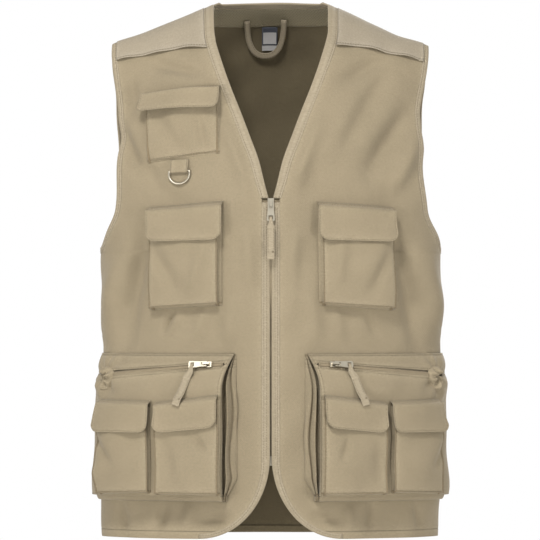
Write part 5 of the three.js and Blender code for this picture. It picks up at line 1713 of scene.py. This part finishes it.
def knitted_mesh(name, colour, hole):
    """Open polyester warp knit, heat set: rows of small lozenge holes, painted as darker dots for the shade
    seen through them.
    """
    material, tree = new_material(name)
    aslant = add(tree, "ShaderNodeMapping", Vector=cloth_place(tree), Rotation=(0, 0, math.pi / 4))
    checks = add(
        tree, "ShaderNodeTexVoronoi", {"distance": "CHEBYCHEV"},
        Vector=aslant.outputs[0], Scale=1 / (MESH_HOLE * MM), Randomness=0.12,
    ).outputs["Distance"]
    holes = spread(tree, checks, 0.0, 1.0, 0.12, 0.3)
    # painted shade in the holes
    mixed = blend(tree, holes, linear(hole), linear(colour))
    surface(tree, Base_Color=mixed, Roughness=0.8, Normal=raised(tree, holes, 0.8, 0.4), Sheen_Weight=0.1)
    return material


def plated(name, colour):
    """Nickel plate on die-cast zinc and steel wire: bright, with fine handling marks."""
    material, tree = new_material(name)
    marks = noise(tree, object_place(tree), METAL_MARK, Detail=5.0, Roughness=0.7)
    dull = spread(tree, marks, 0.3, 0.44, 0.35, 0.7)
    bump = raised(tree, marks, 0.15, 0.05)
    surface(tree, Base_Color=linear(colour), Metallic=1.0, Roughness=dull, Normal=bump)
    return material


def nylon(name, colour, shade):
    """Dyed polyester coil, drawn as one smooth filament: a soft gloss."""
    material, tree = new_material(name)
    specks = noise(tree, object_place(tree), COIL_SPECK, Detail=3.0)
    surface(tree, Base_Color=blend(tree, specks, linear(shade), linear(colour)), Roughness=0.45, IOR=1.57)
    return material


def satin(name, colour, shade):
    """Woven satin label: close shining floats across its width."""
    material, tree = new_material(name)
    rows = bands(tree, "Y", cloth_place(tree), 0.314 / (LABEL_FLOAT * MM), Distortion=0.6)
    mixed = blend(tree, rows, linear(shade), linear(colour))
    surface(tree, Base_Color=mixed, Roughness=0.5, Normal=raised(tree, rows, 0.3, 0.1), Sheen_Weight=0.2)
    return material


def floor_paint(name, colour, cloud):
    """Matt painted studio floor, rolled on: a faint unevenness."""
    material, tree = new_material(name)
    clouds = noise(tree, object_place(tree), FLOOR_CLOUD, Detail=3.0)
    surface(tree, Base_Color=blend(tree, clouds, linear(colour), linear(cloud)), Roughness=0.7)
    return material


# Face of the washed twill; the yokes and the bindings are a little greyer
beige_twill = woven("beige_twill", "#756a56", "#6b614e", "#817661")
yoke_twill = woven("beige_twill_yoke", "#7b7262", "#736a5a", "#877e6f")
binding_twill = woven("beige_twill_binding", "#786e5c", "#706653", "#857b69", crumple=0.3)
# Its reverse, the same twill with painted shade: darker, and darkest inside the back, where the shade is
# deepest
inner_face_painted_shade = woven("beige_twill_inner_painted_shade", "#665a44", "#5e523e", "#6b5f4c")
darkest_inside_painted_shade = woven("beige_twill_back_inside_painted_shade", "#564d3a", "#504735", "#5b523f")
# Facing of the back neck, zip tape, thread, metal, coil and labels
mesh_facing = knitted_mesh("polyester_mesh", "#726951", "#40392a")
zip_tape = woven("zip_tape", "#6d624f", "#665b48", "#776c59", crumple=0.1)
cotton_thread = woven("sewing_thread", "#675d4a", "#5e5443", "#736956", crumple=0.05)
bright_nickel = plated("nickel_plate", "#9f9889")
dyed_coil = nylon("polyester_coil", "#6f6249", "#5f533c")
dark_label = satin("satin_label_dark", "#262a35", "#1d2029")
pale_label = satin("satin_label_pale", "#93918e", "#878583")
pale_floor = floor_paint("studio_floor", "#eceae6", "#f4f3f0")


# Assembly

def build_body():
    back_panel()
    back_yoke()
    back_neck_binding()
    neck_facing()
    hanger_loop()
    end = facing_end()
    label("neck_label_cloth", end, LABEL_HEIGHT, "neck_label", [dark_label, pale_label], panel=(1, 4))
    label("size_label_cloth", end - LABEL_HEIGHT - CLEAR, SIZE_LABEL_HEIGHT, "size_label", [pale_label])
    for name, side in SIDES.items():
        front_panel(name, side)
        front_yoke(name, side)
        front_band(name, side)
        neck_binding(name, side)
        armhole_binding(name, side)
        zip_tape_strip(name, side)
    zip_coil()


def build_pockets():
    for name, side in SIDES.items():
        half = front_half(side)
        pouch(
            f"chest_pouch_cloth_{name}", half, CHEST_POUCH, body_ground,
            f"chest_pouch_{name}", seed=side,
        )
        flap(
            f"chest_flap_cloth_{name}", half, CHEST_FLAP, CHEST_POUCH, body_ground,
            f"chest_flap_{name}", seed=1.7 * side,
        )
        cargo_pouch(name, half)
        cargo_band(name, half)
        cargo_zip(name, half)
        zip_end_gather(name, half)
        for kind, pouch_size, flap_size, start in (
            ("inner", INNER_POUCH, INNER_FLAP, 2.2),
            ("outer", OUTER_POUCH, OUTER_FLAP, 3.9),
        ):
            seed = side * start
            pouch(
                f"{kind}_pouch_cloth_{name}", half, pouch_size, pocket_ground,
                f"{kind}_pouch_{name}", tuck=3.4, crown=2.2, seed=seed,
            )
            flap(
                f"{kind}_flap_cloth_{name}", half, flap_size, pouch_size, pocket_ground,
                f"{kind}_flap_{name}", curl=3.4, seed=seed,
            )
    half = front_half(RIGHT)
    pouch(
        "upper_pouch_cloth", half, UPPER_POUCH, body_ground,
        "upper_pouch", tuck=2.4, seed=0.8, lean=1.0,
    )
    flap(
        "upper_flap_cloth", half, UPPER_FLAP, UPPER_POUCH, body_ground,
        "upper_flap", curl=8.5, seed=2.9,
    )


def build_hardware():
    main_hardware()
    for name, side in SIDES.items():
        cargo_hardware(name, side)
        bevelled_metal(f"cargo_slider_{name}", bright_nickel)
        bevelled_metal(f"cargo_pull_{name}", bright_nickel)
    for node in ("main_slider", "main_pull"):
        bevelled_metal(node, bright_nickel)
    bevelled_metal("zip_stop", bright_nickel, 0.8)
    place = ring_frame()
    ring_loop(place)
    d_ring(place)


# Studio

PIXEL = 1.29  # millimetres of the vest in one pixel of the picture
PICTURE = 540
HEM_PIXEL = 537
ZIP_PIXEL = 270.8
SENSOR = 36
CAMERA_DISTANCE = 9.0
REFERENCE_PLANE = -0.05  # metres: the depth at which a pixel is the size above
FLOOR_DROP = 0.25
FLOOR_HALF = 3.0
LIGHTS_AIM = (0, 0, -0.35)
# Each light: place, size and power
LIGHTS = {
    "overhead": ((-0.5, -2.0, 1.6), 0.5, 77),
    "left_fill": ((-2.0, -2.6, -0.6), 0.6, 50),
    "right_fill": ((2.0, -2.6, -0.6), 0.6, 42),
    "behind": ((0.8, 2.8, 0.9), 1.6, 90),
}


def build_camera():
    data = bpy.data.cameras.new("camera")
    data.sensor_width = SENSOR
    data.lens = SENSOR * (CAMERA_DISTANCE + REFERENCE_PLANE) / (PICTURE * PIXEL * MM)
    data.clip_end = 100
    camera = put("camera", data)
    x = (PICTURE / 2 - ZIP_PIXEL) * PIXEL * MM
    z = (-LENGTH + (HEM_PIXEL - PICTURE / 2) * PIXEL) * MM
    camera.location = (x, -CAMERA_DISTANCE, z)
    camera.rotation_euler = (math.pi / 2, 0, 0)
    bpy.context.scene.camera = camera


def area_light(name, place, size, power):
    data = bpy.data.lights.new(name, "AREA")
    data.size = size
    data.energy = power
    light = put(name, data)
    light.location = place
    light.rotation_euler = (Vector(LIGHTS_AIM) - Vector(place)).to_track_quat("-Z", "Y").to_euler()


def build_studio():
    for name, (place, size, power) in LIGHTS.items():
        area_light(name, place, size, power)
    world = bpy.data.worlds.new("studio")
    world.use_nodes = True
    world.node_tree.nodes["Background"].inputs[0].default_value = (1, 1, 1, 1)
    world.node_tree.nodes["Background"].inputs[1].default_value = 1.0
    bpy.context.scene.world = world
    z = cad_box[0][2] - FLOOR_DROP
    corners = [(x * FLOOR_HALF, y * FLOOR_HALF, z) for x, y in ((-1, -1), (1, -1), (1, 1), (-1, 1))]
    mesh = bpy.data.meshes.new("floor")
    mesh.from_pydata(corners, [], [(0, 1, 2, 3)])
    mesh.materials.append(pale_floor)
    put("floor", mesh)
    bpy.context.scene.view_settings.view_transform = "Standard"


build_camera()
build_studio()
build_body()
build_pockets()
build_hardware()
thread_piece("topstitching", thread_lines, "vest")
